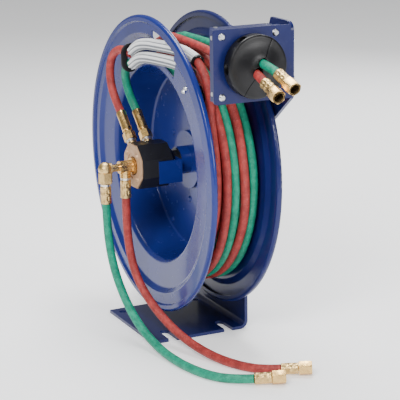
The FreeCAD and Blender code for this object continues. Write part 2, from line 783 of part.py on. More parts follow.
def make_hub():
    """Hub tube with a flange against the near web."""
    flange_at = WEB_STATION - 5
    end = CASE_START + D["case_wall"]
    tube = rod(HUB_RADIUS - 0.02, end - HUB_START, (HUB_START, 0, HEIGHT), (1, 0, 0))
    flange = rod(D["hub_flange_radius"], 5, (flange_at, 0, HEIGHT), (1, 0, 0))
    bore = rod(HUB_BORE, end - HUB_START + 16, (HUB_START - 8, 0, HEIGHT), (1, 0, 0))
    return keep(cut(fuse([tube, flange]), [bore]), "hub")


def make_bushes():
    """Two plain bushes that run on the axle."""
    bushes = []
    seats = ((HUB_START + 1, CASE_START - HUB_START - 2), (CASE_END + D["case_wall"], 8.0))
    for start, length in seats:
        outer = rod(HUB_BORE, length, (start, 0, HEIGHT), (1, 0, 0))
        inner = rod(BUSH_BORE, 60, (start - 5, 0, HEIGHT), (1, 0, 0))
        bushes.append(cut(outer, [inner]))
    return keep(group(bushes), "bushes")


def make_spring_case():
    """Cup for the power spring, riveted to the webs."""
    wall, rim = D["case_wall"], CASE_RADIUS
    points = [(CASE_START, HUB_RADIUS), (CASE_START, rim), (CASE_END, rim),
              (CASE_END, rim - wall), (CASE_START + wall, rim - wall),
              (CASE_START + wall, HUB_RADIUS)]
    rivets = [rod(2.6, 12, on_circle(Size.of(62.0), 60 * number, CASE_START - 3), (1, 0, 0))
              for number in range(WEB_BOLTS)]
    return keep(cut(spun(points), rivets), "spring_case")


def make_spring_cover():
    """Lid of the spring case, with a rim over the cup and the far bearing's seat."""
    wall, rim = D["case_wall"], CASE_RADIUS
    end = CASE_END + wall
    points = [(CASE_END, HUB_BORE), (CASE_END, rim + 0.05), (CASE_END - 8, rim + 0.05),
              (CASE_END - 8, rim + 0.05 + wall), (end, rim + 0.05 + wall),
              (end, HUB_RADIUS), (end + 8.0, HUB_RADIUS), (end + 8.0, HUB_BORE)]
    return keep(spun(points), "spring_cover")


ARBOR_WALL = 7.0


def make_spring_arbor():
    """Collar keyed to the fixed axle, inside the power spring."""
    length = D["spring_width"]
    ring = stack((CASE_START + 2, 0, HEIGHT), (1, 0, 0),
                 [(0, D["axle_radius"] + ARBOR_WALL, length)],
                 (D["axle_radius"], -2, length + 4))
    return keep(ring, "spring_arbor")


def make_power_spring():
    """Flat spiral spring: half circles whose radius grows with each half turn."""
    strip = D["spring_strip"].number
    inner = D["axle_radius"].number + ARBOR_WALL + D["free_gap"].number
    outer = CASE_RADIUS.number - D["case_wall"].number - strip - 0.2
    halves = int(D["spring_turns"].number * 2)
    growth = (outer - inner) / halves

    def chain(start):
        """Half circles from a start radius, and the last point."""
        edges, side, radius = [], 1, start
        for _ in range(halves):
            centre = -side * growth / 2
            reach = radius + growth / 2
            first = Vector(0, side * radius, 0)
            last = Vector(0, -side * (radius + growth), 0)
            edges.append(Part.Arc(first, Vector(0, centre, reach * side), last).toShape())
            radius, side = radius + growth, -side
        return edges, Vector(0, side * radius, 0)

    low, low_end = chain(inner)
    high, high_end = chain(inner + strip)
    caps = [Part.LineSegment(Vector(0, inner, 0), Vector(0, inner + strip, 0)).toShape(),
            Part.LineSegment(low_end, high_end).toShape()]
    edges = Part.sortEdges(low + high + caps)[0]
    solid = Part.Face(Part.Wire(edges)).extrude(Vector(D["spring_width"].number, 0, 0))
    thing = doc.addObject("Part::Feature", "PowerSpring")
    thing.Shape = solid
    return keep(place(thing, (CASE_START + 2, 0, HEIGHT)), "power_spring")


def make_ratchet():
    """Notched wheel on the spring case's cover."""
    start = CASE_END + D["case_wall"]
    wheel = rod(D["ratchet_radius"], 5, (start, 0, HEIGHT), (1, 0, 0))
    tools = [rod(HUB_RADIUS, 20, (start - 5, 0, HEIGHT), (1, 0, 0))]
    for number in range(int(D["ratchet_notches"].number)):
        spot = on_circle(D["ratchet_radius"], 90 * number + 45, start - 2)
        tools.append(rod(8.0, 10, spot, (1, 0, 0)))
    return keep(cut(wheel, tools), "ratchet_wheel")


PAWL_PIVOT = (30.0, -60.0)


def make_pawl():
    """Pawl that swings on its pin in the ratchet wheel's plane."""
    start = CASE_END + D["case_wall"] + 0.5
    y, z = PAWL_PIVOT
    boss = rod(8.0, 4, (start, y, HEIGHT + z), (1, 0, 0))
    bar = box((4, 30, 8), (start, y - 30, HEIGHT + z - 3))
    tip = rod(4.0, 4, (start, y - 30, HEIGHT + z + 1), (1, 0, 0))
    hole = rod(4.0 + D["running_clearance"], 20, (start - 5, y, HEIGHT + z), (1, 0, 0))
    return keep(cut(fuse([boss, bar, tip]), [hole]), "pawl")


def make_pawl_pin():
    """Shouldered stud on the upright that carries the pawl."""
    start = CASE_END + D["case_wall"] + 0.4
    y, z = PAWL_PIVOT
    pin = rod(4.0, UPRIGHT_INNER - start, (start, y, HEIGHT + z), (1, 0, 0))
    shoulder = rod(7.0, UPRIGHT_INNER - start - 10, (start + 10, y, HEIGHT + z), (1, 0, 0))
    return keep(fuse([pin, shoulder]), "pawl_pin")


def make_pawl_spring():
    """Closed coil of the pawl's torsion spring, round its stud."""
    start = CASE_END + D["case_wall"] + 5.0
    y, z = PAWL_PIVOT
    coil = stack((start, y, HEIGHT + z), (1, 0, 0), [(0, 6.2, 5.0)], (4.4, -1, 7))
    return keep(coil, "pawl_spring")


# ----------------------------------------------------------------- swivel

PORT_STATIONS = {"red": 6.5, "green": 32.5}
LEAN = math.radians(D["port_lean"].number)
PORT_AXIS = (0.0, math.sin(LEAN), math.cos(LEAN))


def port_face(name):
    """Middle of an outlet port on the swivel block's slanting flat."""
    across = 5.0
    y = D["block_radius"] * math.sin(LEAN) - across * math.cos(LEAN)
    z = D["block_radius"] * math.cos(LEAN) + across * math.sin(LEAN)
    return (BLOCK_START + PORT_STATIONS[name], y, HEIGHT + z)


def make_swivel_block():
    """Eight-sided block that turns with the spool round the fixed stem."""
    taper = Size.of(9.0)
    body = prism(8, D["block_radius"], D["block_length"] - taper,
                 (BLOCK_START, 0, HEIGHT), (1, 0, 0), 22.5)
    tail = cone(D["block_radius"] - 1.5, 21.0, taper,
                (BLOCK_END - taper, 0, HEIGHT), (1, 0, 0))
    bore = rod(D["stem_radius"] + D["running_clearance"], 80,
               (BLOCK_START - 10, 0, HEIGHT), (1, 0, 0))
    return keep(cut(fuse([body, tail]), [bore]), "swivel_block")


def make_flange():
    """Brass plate that keeps the stem's collar in the block."""
    start = BLOCK_START - D["flange_plate"]
    plate = prism(8, D["block_radius"] - 1, D["flange_plate"], (start, 0, HEIGHT),
                  (1, 0, 0), 22.5)
    bores = [rod(14.0, 20, (start - 5, 0, HEIGHT), (1, 0, 0))]
    bores += [rod(2.1, 20, on_circle(D["block_radius"] - 8, 45 + 90 * number, start - 5),
                  (1, 0, 0)) for number in range(4)]
    return keep(cut(plate, bores), "swivel_flange")


def make_flange_screws():
    """Four cap screws in the swivel's brass plate."""
    start = BLOCK_START - D["flange_plate"]
    screws = [button_screw([value.number for value in
                            on_circle(D["block_radius"] - 8, 45 + 90 * number, start)],
                           (1, 0, 0), 2.0, 3.6, D["flange_plate"].number)
              for number in range(4)]
    return keep(group(screws), "flange_screws")


def make_neck():
    """Black tube between the swivel block and the hub."""
    length = HUB_START - BLOCK_END
    neck = stack((BLOCK_END, 0, HEIGHT), (1, 0, 0),
                 [(0, 16.0, 10.0), (0, 19.5, length - 10.0)],
                 (D["stem_radius"] + 0.5, -2, length + 4))
    room = rod(D["axle_radius"] + 0.5, 20, (AXLE_START - 1, 0, HEIGHT), (1, 0, 0))
    return keep(cut(neck, [room]), "swivel_neck")


def make_swivel_bracket():
    """Bent blue bracket that steadies the swivel block on its neck."""
    start = BLOCK_END - 32
    face = -D["block_radius"] - D["disc_sheet"] - 0.5
    end = BLOCK_END + 5
    leg = box((end - start, 2.5, 34.0), (start, face, HEIGHT - 24))
    foot = box((2.5, 36.0, 34.0), (end - 2.5, face, HEIGHT - 24))
    clear = rod(16.0, 8, (end - 5, 0, HEIGHT), (1, 0, 0))
    return keep(cut(fuse([leg, foot]), [clear]), "swivel_bracket")


def make_stem():
    """Fixed brass stem: shaft in the block, body with the red inlet, arm."""
    face = BLOCK_START - 6
    parts = [
        rod(D["stem_radius"], AXLE_START - BLOCK_START, (BLOCK_START, 0, HEIGHT),
            (1, 0, 0)),
        rod(12.5, 5.7, (face, 0, HEIGHT), (1, 0, 0)),
        rod(9.5, 19.0, (face - 19, 0, HEIGHT), (1, 0, 0)),
        rod(5.5, 14.0, (face - 32, 0, HEIGHT), (1, 0, 0)),
        rod(8.0, 16.0, (INLET_X["red"], 0, HEIGHT), (0, 0, -1))]
    return keep(fuse(parts), "swivel_stem")


INLET_X = {"red": BLOCK_START - 15, "green": BLOCK_START - 47}
INLET_TOP = {"red": HEIGHT - 16, "green": HEIGHT - 22}
INLET_END = {"red": HEIGHT - 47, "green": HEIGHT - 52}


def make_elbow():
    """Cast elbow that turns the second inlet downwards."""
    x = INLET_X["green"]
    across = rod(8.5, 9.0, (x + 9.0, 0, HEIGHT), (-1, 0, 0))
    ball = doc.addObject("Part::Sphere", unused("Ball"))
    bind(ball, "Radius", 10.5)
    place(ball, (x, 0, HEIGHT))
    down = prism(6, 9.5, 16.0, (x, 0, HEIGHT - 5), (0, 0, -1))
    return keep(fuse([across, ball, down]), "inlet_elbow")


def make_inlet_fittings():
    """Collar and crimped ferrule of each inlet hose, at the swivel."""
    pieces = [stack((INLET_X[name], 0, INLET_TOP[name]), (0, 0, -1),
                    [(0, 7.4, 4.0), (0, 8.1, INLET_TOP[name] - INLET_END[name] - 4.0)])
              for name in INLET_X]
    return keep(group(pieces), "inlet_fittings")


def make_jumper_fittings():
    """Collar, hex and ferrule from the block to each jumper hose."""
    pieces = [stack(port_face(name), PORT_AXIS,
                    [(0, 7.2, 8.0), (6, 8.4, 14.0), (0, 5.8, 4.0), (0, 7.6, 34.0)])
              for name in PORT_STATIONS]
    return keep(group(pieces), "jumper_fittings")


def make_end(label, start, direction, ferrule=24.0):
    """Ferrule on a hose's end, and the union nut that spins on its nipple.

    The nut's bore is open, with the nipple's nose at its bottom.
    """
    shank = stack(start, direction, [(0, 8.0, ferrule), (0, 4.5, 4.8), (0, 5.4, 3.0)])
    keep(shank, f"{label}_ferrule")
    nut_at = along(start, direction, ferrule + 0.4)
    length = 19.0
    body = prism(6, D["nut_across_flats"] / 2, length, (0, 0, 0))
    collar = rod(4.5 + 0.1, 7.0, (0, 0, -1))
    seat = rod(5.6, 6.0, (0, 0, 4.0))
    thread = rod(D["thread_radius"], length, (0, 0, 8.0))
    lead = cone(D["thread_radius"], D["thread_radius"] + 1, 1.0, (0, 0, length - 1))
    nut = place(cut(body, [collar, seat, thread, lead]), nut_at, towards(direction))
    keep(nut, f"{label}_nut")


# ------------------------------------------------------------------ hoses
# Each route is for the sizes above; moved() and lowered() carry it with them.

INLET_ROUTES = {
    "green": [(-113, 0, 201), (-113, -1.5, 165), (-111, -6, 128), (-107, -16, 93),
              (-102, -36, 61), (-97, -66, 34), (-91.5, -105, 16), (-87, -150, 7.6),
              (-81.5, -203, 6.5), (-69, -247, 6.5), (-48, -277, 6.8), (-22, -295.5, 9.4)],
    "red": [(-81, 0, 206), (-81.6, -1.5, 168), (-81.3, -8, 129), (-78.5, -22, 93),
            (-72.5, -47, 65), (-64.5, -83, 42), (-54.5, -118, 25), (-42.5, -155, 13.5),
            (-29, -198, 7.6), (-12.5, -237, 6.6), (8, -265, 7.0), (28.5, -279.5, 9.4)],
}
INLET_AIM = {"green": (19, -313, 11.2), "red": (67, -300, 11.2)}

OUTLET_ROUTES = {
    "green": [(22, 6, 439.8), (19, -75, 441.2), (15.5, -150, 440.8), (12.8, -212, 438.8),
              (12.3, -262, 437.4), (15, -297, 428.5)],
    "red": [(3, 6, 439.8), (3.2, -75, 438.4), (4, -150, 431.5), (5.2, -212, 427),
            (5.0, -255, 425), (0.5, -287, 416)],
}
OUTLET_AIM = {"green": (17.4, -340, 413), "red": (-1.2, -325, 404.5)}

JUMPER_ROUTES = {
    "red": [(-61.2, 76, 337.5), (-62.3, 92, 360), (-61.5, 97, 386), (-59.5, 88, 408),
            (-56.8, 66, 418.5), (-54.4, 46, 417), (-54, 29, 415.8)],
    "green": [(-35.5, 72, 333.5), (-41, 76, 352), (-46.5, 71.5, 371), (-50.5, 62, 387),
              (-53.2, 47, 400), (-54, 29, 402.2)],
}

SLEEVE_ROUTES = {
    "upper": [(-54, 24, 420), (-55, 2, 432), (-51, -24, 437.5), (-42, -46, 436.5),
              (-29, -68, 434.5), (-20, -92, 431), (-17, -118, 423)],
    "lower": [(-54, 24, 400.5), (-55, 0, 413), (-53, -24, 418), (-45, -46, 417.5),
              (-32.5, -68, 415), (-24.5, -88, 411.5), (-24.5, -108, 404)],
}
SLEEVE_RADIUS = 9.0

FEED_ROUTES = {
    "green": [(-24.5, -108, 404), (-24.2, -122.5, 394), (-24.2, -134, 377.8),
              (-24.6, -141, 358.9), (-24.9, -145.9, 344.1)],
    "red": [(-17, -118, 423), (-14.5, -134, 410), (-12.8, -145, 388), (-11.6, -148, 364.3),
            (-11, -146.7, 344.7)],
}


SPOOL_SHIFT = NEAR_RIM.number + 45.5
GUIDE_SHIFT = GUIDE_CENTRE.number - 9
RISE = HEIGHT.number - 253


def moved(route, shift):
    """Route carried along X by shift, and up with the axle."""
    return [(x + shift, y, z + RISE) for x, y, z in route]


def lowered(route):
    """Inlet route carried with the block; its floor end keeps its height."""
    rest = HOSE_RADIUS.number
    top = route[0][2]
    scale = (top + RISE - rest) / (top - rest)
    return [(x + SPOOL_SHIFT, y, rest + (z - rest) * scale) for x, y, z in route]


def make_jumper(name):
    """Short hose from the block to the grommet."""
    top = 60.0
    start = along([Size.of(value).number for value in port_face(name)], PORT_AXIS, top)
    label = f"jumper_hose_{name}"
    keep(hose(label, [start] + moved(JUMPER_ROUTES[name], SPOOL_SHIFT)), label)


def make_free_hose(kind, name, route, heading):
    """Hose with its ferrule and union nut, which point along heading."""
    label = f"{kind}_hose_{name}"
    keep(hose(label, route), label)
    make_end(f"{kind}_{name}", route[-1], heading)


def make_grommet():
    """Oval rubber ring round the two jumper hoses."""
    wall, depth = 3.2, 11.0
    low, high = HEIGHT + 149.3, HEIGHT + 163.2
    x, y = NEAR_RIM - 8.5, 40.0

    def oval(radius, start, length):
        """Round-ended bar along -Y."""
        ends = [rod(radius, length, (x, start, level), (0, -1, 0)) for level in (low, high)]
        return fuse(ends + [box((radius * 2, length, high - low),
                                (x - radius, start - length, low))])

    room = HOSE_RADIUS.number + 1.2
    keep(cut(oval(room + wall, y, depth), [oval(room, y + 5, depth + 10)]), "grommet")


def make_sleeves():
    """Two woven sleeves that lead the hoses through the disc's window."""
    sleeves = [hose(f"sleeve {name}", moved(route, SPOOL_SHIFT), SLEEVE_RADIUS)
               for name, route in SLEEVE_ROUTES.items()]
    return keep(group(sleeves), "sleeves")


def make_sleeve_caps():
    """Black ends of the sleeves."""
    caps = []
    for points in SLEEVE_ROUTES.values():
        route = moved(points, SPOOL_SHIFT)
        caps.append(stack(route[-1], unit(route[-2], route[-1]),
                          [(0, SLEEVE_RADIUS + 0.7, 3.5)], (HOSE_RADIUS + 0.9, -1, 8)))
    return keep(group(caps), "sleeve_caps")


def make_feed_clip():
    """Steel band and rubber cuff that hold the feed hose behind the disc."""
    points = moved(FEED_ROUTES["green"], SPOOL_SHIFT)
    heading = unit(points[1], points[2])
    band = stack(along(points[1], heading, 6.0), heading, [(0, 8.0, 4.0)],
                 (HOSE_RADIUS, -1, 8))
    cuff = stack(along(points[1], heading, 10.0), heading, [(0, 8.8, 6.0)],
                 (HOSE_RADIUS, -1, 10))
    keep(band, "feed_band")
    keep(cuff, "feed_cuff")


def make_clip_screws():
    """Two small screws in the disc's face."""
    screws = []
    for degrees, radius in CLIP_SCREWS:
        spot = [Size.of(value).number for value in
                on_circle(Size.of(radius), degrees, NEAR_LIP - 2.9)]
        screws.append(button_screw(spot, (1, 0, 0), 1.8, 3.4, 5.0))
    return keep(group(screws), "clip_screws")


COIL_FEED = (-9.0, 67.0)


def make_coil(name, first):
    """Feed and every second wrap of the wound hoses; wraps by it leave room."""
    start, sweep = COIL_FEED
    wraps = [hose(f"feed {name}", moved(FEED_ROUTES[name], SPOOL_SHIFT))]
    for number in range(first, COIL_RINGS, 2):
        station = COIL_START + COIL_PITCH * number
        width = COIL_PITCH - D["coil_gap"]
        outer = rod(COIL_OUTER, width, (station, 0, HEIGHT), (1, 0, 0))
        inner = rod(COIL_INNER, width + 4, (station - 2, 0, HEIGHT), (1, 0, 0))
        tools = [inner]
        if number < 2:
            tools.append(sector(COIL_OUTER + 20, width + 2, station - 1, start, sweep))
        wraps.append(cut(outer, tools))
    return keep(group(wraps), f"coil_{name}")


def build():
    """Make every sub-part."""
    make_pedestal()
    make_axle()
    make_axle_nut()
    make_guide_arm()
    make_arm_bolts()
    make_guide_plate()
    make_guide_screws()
    make_roller_frame()
    make_roller_pins()
    for name in ROLLER_ROWS:
        make_roller(name)
    make_stop("stop_right", 1)
    make_stop("stop_left", -1)
    make_stop_bolts()
    make_near_disc()
    make_far_disc()
    make_web_fasteners()
    make_hub()
    make_bushes()
    make_spring_case()
    make_spring_cover()
    make_spring_arbor()
    make_power_spring()
    make_ratchet()
    make_pawl()
    make_pawl_pin()
    make_pawl_spring()
    make_swivel_block()
    make_flange()
    make_flange_screws()
    make_neck()
    make_swivel_bracket()
    make_stem()
    make_elbow()
    make_grommet()
    make_sleeves()
    make_sleeve_caps()
    make_feed_clip()
    make_clip_screws()
    make_inlet_fittings()
    make_jumper_fittings()
    for name in ("red", "green"):
        make_jumper(name)
        make_free_hose("inlet", name, lowered(INLET_ROUTES[name]),
                       unit(INLET_ROUTES[name][-1], INLET_AIM[name]))
        make_free_hose("outlet", name, moved(OUTLET_ROUTES[name], GUIDE_SHIFT),
                       unit(OUTLET_ROUTES[name][-1], OUTLET_AIM[name]))
    make_coil("green", 0)
    make_coil("red", 1)


def export():
    """Check every object and shape, then write one file for each sub-part."""
    doc.recompute()
    for thing in doc.Objects:
        if "Invalid" in thing.State or "Error" in thing.State:
            raise RuntimeError(f"{thing.Name} ({thing.Label}) did not compute")
    os.makedirs("parts", exist_ok=True)
    for thing in SUBPARTS:
        shape = thing.Shape
        if shape.isNull() or not shape.isValid() or shape.Volume <= 0:
            raise RuntimeError(f"{thing.Label} has no valid solid")
        shape.exportStep(f"parts/{thing.Label}.step")
    print(f"{len(SUBPARTS)} sub-parts written")


build()
export()
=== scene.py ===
"""Finished look of a spring-rewind twin gas hose reel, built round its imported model.

Lengths are metres in the model's own frame: X is the spool's axis with the open,
swivel side at -X, the hoses leave at the front, -Y, and the floor is z = 0.
"""
from __future__ import annotations

import logging
import math
import random
from dataclasses import dataclass, field
from enum import Enum
from typing import Any, Sequence

import bpy
from mathutils import Matrix, Quaternion, Vector


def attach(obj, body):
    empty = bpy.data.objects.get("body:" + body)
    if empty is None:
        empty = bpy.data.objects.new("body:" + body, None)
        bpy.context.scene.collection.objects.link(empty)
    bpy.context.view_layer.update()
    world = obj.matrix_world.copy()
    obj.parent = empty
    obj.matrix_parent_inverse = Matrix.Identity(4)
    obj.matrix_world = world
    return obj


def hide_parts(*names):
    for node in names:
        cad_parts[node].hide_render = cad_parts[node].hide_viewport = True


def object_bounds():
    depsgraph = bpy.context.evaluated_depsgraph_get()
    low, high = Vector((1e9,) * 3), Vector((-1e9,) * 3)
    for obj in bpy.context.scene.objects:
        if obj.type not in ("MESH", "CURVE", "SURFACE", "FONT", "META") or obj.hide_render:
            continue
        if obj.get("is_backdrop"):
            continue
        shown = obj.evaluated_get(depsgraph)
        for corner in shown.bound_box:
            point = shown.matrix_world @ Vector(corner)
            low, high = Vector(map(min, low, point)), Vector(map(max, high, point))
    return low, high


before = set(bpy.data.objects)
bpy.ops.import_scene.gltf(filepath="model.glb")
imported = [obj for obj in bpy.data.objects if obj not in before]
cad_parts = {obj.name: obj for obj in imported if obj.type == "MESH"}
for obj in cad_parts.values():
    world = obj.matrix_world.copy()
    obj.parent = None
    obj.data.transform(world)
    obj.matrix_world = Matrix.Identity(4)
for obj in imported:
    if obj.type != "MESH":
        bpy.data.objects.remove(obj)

LOG = logging.getLogger("hose_reel")
Point = tuple[float, float, float]
Colour = tuple[float, float, float]
HOSE_DIAMETER = 0.0127
AXLE = Vector((0.0, 0.0, 0.253))


# ------------------------------------------------------------------ shading

class Wire:
    """A shader socket that adds Math nodes when it is used in a sum."""

    def __init__(self, shader: "Shader", socket: bpy.types.NodeSocket) -> None:
        """Wrap one output socket of a shader."""
        self.shader = shader
        self.socket = socket

    def maths(self, operation: str, first: Any, second: Any = 0.0) -> "Wire":
        """Add a Math node.

        Args:
            operation: the node's operation.
            first: number or wire.
            second: number or wire.

        Returns:
            The node's value.
        """
        return self.shader.add("ShaderNodeMath", {"operation": operation},
                               {0: first, 1: second})

    def __add__(self, other: Any) -> "Wire":
        """self + other."""
        return self.maths("ADD", self, other)

    def __radd__(self, other: Any) -> "Wire":
        """other + self."""
        return self.maths("ADD", other, self)

    def __sub__(self, other: Any) -> "Wire":
        """self - other."""
        return self.maths("SUBTRACT", self, other)

    def __mul__(self, other: Any) -> "Wire":
        """self * other."""
        return self.maths("MULTIPLY", self, other)

    def __rmul__(self, other: Any) -> "Wire":
        """other * self."""
        return self.maths("MULTIPLY", other, self)

    def sine(self) -> "Wire":
        """Sine of the value."""
        return self.maths("SINE", self)


class Space(Enum):
    """Which coordinates a pattern follows."""

    OBJECT = "Object"
    SURFACE = "UV"


class Shader:
    """One material's node tree."""

    def __init__(self, name: str) -> None:
        """Start a material with a Principled surface."""
        self.material = bpy.data.materials.new(name)
        self.material.use_nodes = True
        self.tree = self.material.node_tree
        self.surface = self.tree.nodes["Principled BSDF"]

    def add(self, kind: str, settings: dict[str, Any] | None = None,
            inputs: dict[Any, Any] | None = None, output: int = 0) -> Wire:
        """Add a node.

        Args:
            kind: the node's type.
            settings: its properties.
            inputs: values or wires by socket.
            output: which output is wanted.

        Returns:
            That output.
        """
        node = self.tree.nodes.new(kind)
        for key, value in (settings or {}).items():
            setattr(node, key, value)
        for key, value in (inputs or {}).items():
            self.join(node.inputs[key], value)
        return Wire(self, node.outputs[output])

    def join(self, socket: bpy.types.NodeSocket, value: Any) -> None:
        """Set a socket to a value, or link a wire to it."""
        if isinstance(value, Wire):
            self.tree.links.new(value.socket, socket)
        else:
            socket.default_value = value

    def where(self, space: Space = Space.OBJECT, scale: Point = (1.0, 1.0, 1.0),
              turn: Point = (0.0, 0.0, 0.0), shift: Point = (0.0, 0.0, 0.0)) -> Wire:
        """Coordinates of a pattern.

        Args:
            space: object or surface coordinates.
            scale: stretch along each axis.
            turn: turn about each axis, in radians.
            shift: offset along each axis.

        Returns:
            The mapped coordinates.
        """
        source = self.tree.nodes.new("ShaderNodeTexCoord")
        vector = Wire(self, source.outputs[space.value])
        return self.add("ShaderNodeMapping", None,
                        {"Vector": vector, "Scale": scale, "Rotation": turn,
                         "Location": shift})

    def axis(self, vector: Wire, index: int) -> Wire:
        """One coordinate of a vector."""
        return self.add("ShaderNodeSeparateXYZ", None, {0: vector}, index)

    def noise(self, vector: Wire, scale: float, detail: float = 3.0,
              roughness: float = 0.55) -> Wire:
        """Noise from 0 to 1 about the middle."""
        return self.add("ShaderNodeTexNoise", None,
                        {"Vector": vector, "Scale": scale, "Detail": detail,
                         "Roughness": roughness})

    def cells(self, vector: Wire, scale: float) -> Wire:
        """Distance to the nearest of many scattered points."""
        return self.add("ShaderNodeTexVoronoi", None, {"Vector": vector, "Scale": scale})

    def step(self, factor: Wire, low: float, high: float, to_low: float = 0.0,
             to_high: float = 1.0) -> Wire:
        """Map a range onto another, held at both ends."""
        return self.add("ShaderNodeMapRange", {"interpolation_type": "SMOOTHSTEP"},
                        {0: factor, 1: low, 2: high, 3: to_low, 4: to_high})

    def mix(self, factor: Any, first: Any, second: Any) -> Wire:
        """Mix two colours."""
        colours = [value if isinstance(value, Wire) else (*value, 1.0)
                   for value in (first, second)]
        return self.add("ShaderNodeMix", {"data_type": "RGBA"},
                        {0: factor, 6: colours[0], 7: colours[1]}, 2)

    def bump(self, height: Wire, strength: float, distance: float) -> Wire:
        """Normal from a height in metres times distance."""
        return self.add("ShaderNodeBump", None,
                        {"Height": height, "Strength": strength, "Distance": distance})

    def finish(self, **sockets: Any) -> bpy.types.Material:
        """Set the surface's sockets.

        Args:
            sockets: socket names with underscores for spaces.

        Returns:
            The material.
        """
        for key, value in sockets.items():
            self.join(self.surface.inputs[key.replace("_", " ")], value)
        return self.material


@dataclass(frozen=True)
class PowderCoat:
    """Gloss powder coat over steel sheet, with fine orange peel and dust."""

    name: str
    deep: Colour
    light: Colour
    roughness: float = 0.22
    peel: float = 0.10

    def make(self) -> bpy.types.Material:
        """Build the material."""
        shader = Shader(self.name)
        here = shader.where()
        broad = shader.noise(here, 7.0, 4.0)
        fine = shader.noise(here, 420.0, 2.0)
        dust = shader.step(shader.noise(here, 60.0, 6.0, 0.7), 0.56, 0.76)
        paint = shader.mix(shader.step(broad, 0.3, 0.7), self.deep, self.light)
        dusted = shader.mix(dust * 0.04, paint, (0.24, 0.28, 0.42))
        return shader.finish(
            Base_Color=dusted, Metallic=0.0, Specular_IOR_Level=0.28,
            Roughness=self.roughness + 0.10 * dust + 0.05 * broad,
            Coat_Weight=0.15, Coat_Roughness=0.05,
            Normal=shader.bump(fine, self.peel, 0.0004))


@dataclass(frozen=True)
class PlatedSteel:
    """Zinc-plated or oiled steel, with fine grain and cloudy patches."""

    name: str
    tint: Colour
    roughness: float = 0.28
    grain: Point = (1.0, 1.0, 1.0)

    def make(self) -> bpy.types.Material:
        """Build the material."""
        shader = Shader(self.name)
        cloud = shader.noise(shader.where(), 55.0, 4.0)
        lines = shader.noise(shader.where(scale=self.grain), 900.0, 2.0)
        dull = tuple(0.62 * value for value in self.tint)
        return shader.finish(
            Base_Color=shader.mix(shader.step(cloud, 0.35, 0.75), self.tint, dull),
            Metallic=1.0, Roughness=self.roughness + 0.22 * (cloud - 0.4) + 0.05 * lines,
            Normal=shader.bump(lines, 0.12, 0.0002))


@dataclass(frozen=True)
class Brass:
    """Turned or cast brass, with tarnish in patches."""

    name: str
    tint: Colour
    tarnish: Colour
    roughness: float = 0.24
    dimples: float = 0.0
    share: float = 0.55
    metal: float = 1.0

    def make(self) -> bpy.types.Material:
        """Build the material."""
        shader = Shader(self.name)
        here = shader.where()
        patch = shader.noise(here, 130.0, 5.0, 0.65)
        pits = shader.cells(here, 620.0)
        worn = shader.step(patch, 0.42, 0.72)
        height = shader.noise(here, 700.0, 3.0) * 0.3 + pits * self.dimples
        return shader.finish(
            Base_Color=shader.mix(worn * self.share, self.tint, self.tarnish),
            Metallic=self.metal, Roughness=self.roughness + 0.25 * worn,
            Normal=shader.bump(height, 0.35, 0.0006))


@dataclass(frozen=True)
class Anodised:
    """Black anodised aluminium with turned or milled lines along one axis."""

    name: str
    tint: Colour
    lines: float

    def make(self) -> bpy.types.Material:
        """Build the material."""
        shader = Shader(self.name)
        here = shader.where()
        rows = (shader.axis(here, 0) * self.lines
                + shader.noise(here, 30.0) * 2.0).sine()
        scuff = shader.step(shader.noise(here, 90.0, 6.0, 0.75), 0.60, 0.74)
        lifted = tuple(6.0 * value for value in self.tint)
        return shader.finish(
            Base_Color=shader.mix(scuff * 0.55, self.tint, lifted), Metallic=0.6,
            Roughness=0.36 + 0.05 * rows + 0.15 * scuff,
            Normal=shader.bump(rows, 0.22, 0.0002))


@dataclass(frozen=True)
class Rubber:
    """Moulded black rubber or plastic, with grey bloom."""

    name: str
    tint: Colour
    bloom: Colour
    roughness: float = 0.42
    grain: float = 520.0

    def make(self) -> bpy.types.Material:
        """Build the material."""
        shader = Shader(self.name)
        here = shader.where()
        haze = shader.step(shader.noise(here, 38.0, 5.0, 0.65), 0.45, 0.78)
        skin = shader.noise(here, self.grain, 3.0)
        return shader.finish(
            Base_Color=shader.mix(haze * 0.6, self.tint, self.bloom), Metallic=0.0,
            Specular_IOR_Level=0.30,
            Roughness=self.roughness + 0.16 * haze,
            Normal=shader.bump(skin, 0.18, 0.0004))


@dataclass(frozen=True)
class HoseCover:
    """Ribbed rubber cover of a welding hose, dusty and mottled."""

    name: str
    tint: Colour
    dark: Colour
    chalk: Colour
    ribs: int = 30

    def make(self) -> bpy.types.Material:
        """Build the material."""
        shader = Shader(self.name)
        here = shader.where()
        surface = shader.where(Space.SURFACE)
        rib = (shader.axis(surface, 1) * (2 * math.pi * self.ribs)).sine()
        mottle = shader.noise(here, 95.0, 6.0, 0.72)
        speck = shader.step(shader.noise(here, 420.0, 3.0), 0.56, 0.72)
        body = shader.mix(shader.step(mottle, 0.36, 0.66), self.dark, self.tint)
        cover = shader.mix(speck * 0.42, body, self.chalk)
        height = rib * 0.5 + shader.noise(here, 900.0, 2.0)
        return shader.finish(
            Base_Color=cover, Metallic=0.0, Roughness=0.50 + 0.16 * speck,
            Specular_IOR_Level=0.3, Normal=shader.bump(height, 0.30, 0.0005))


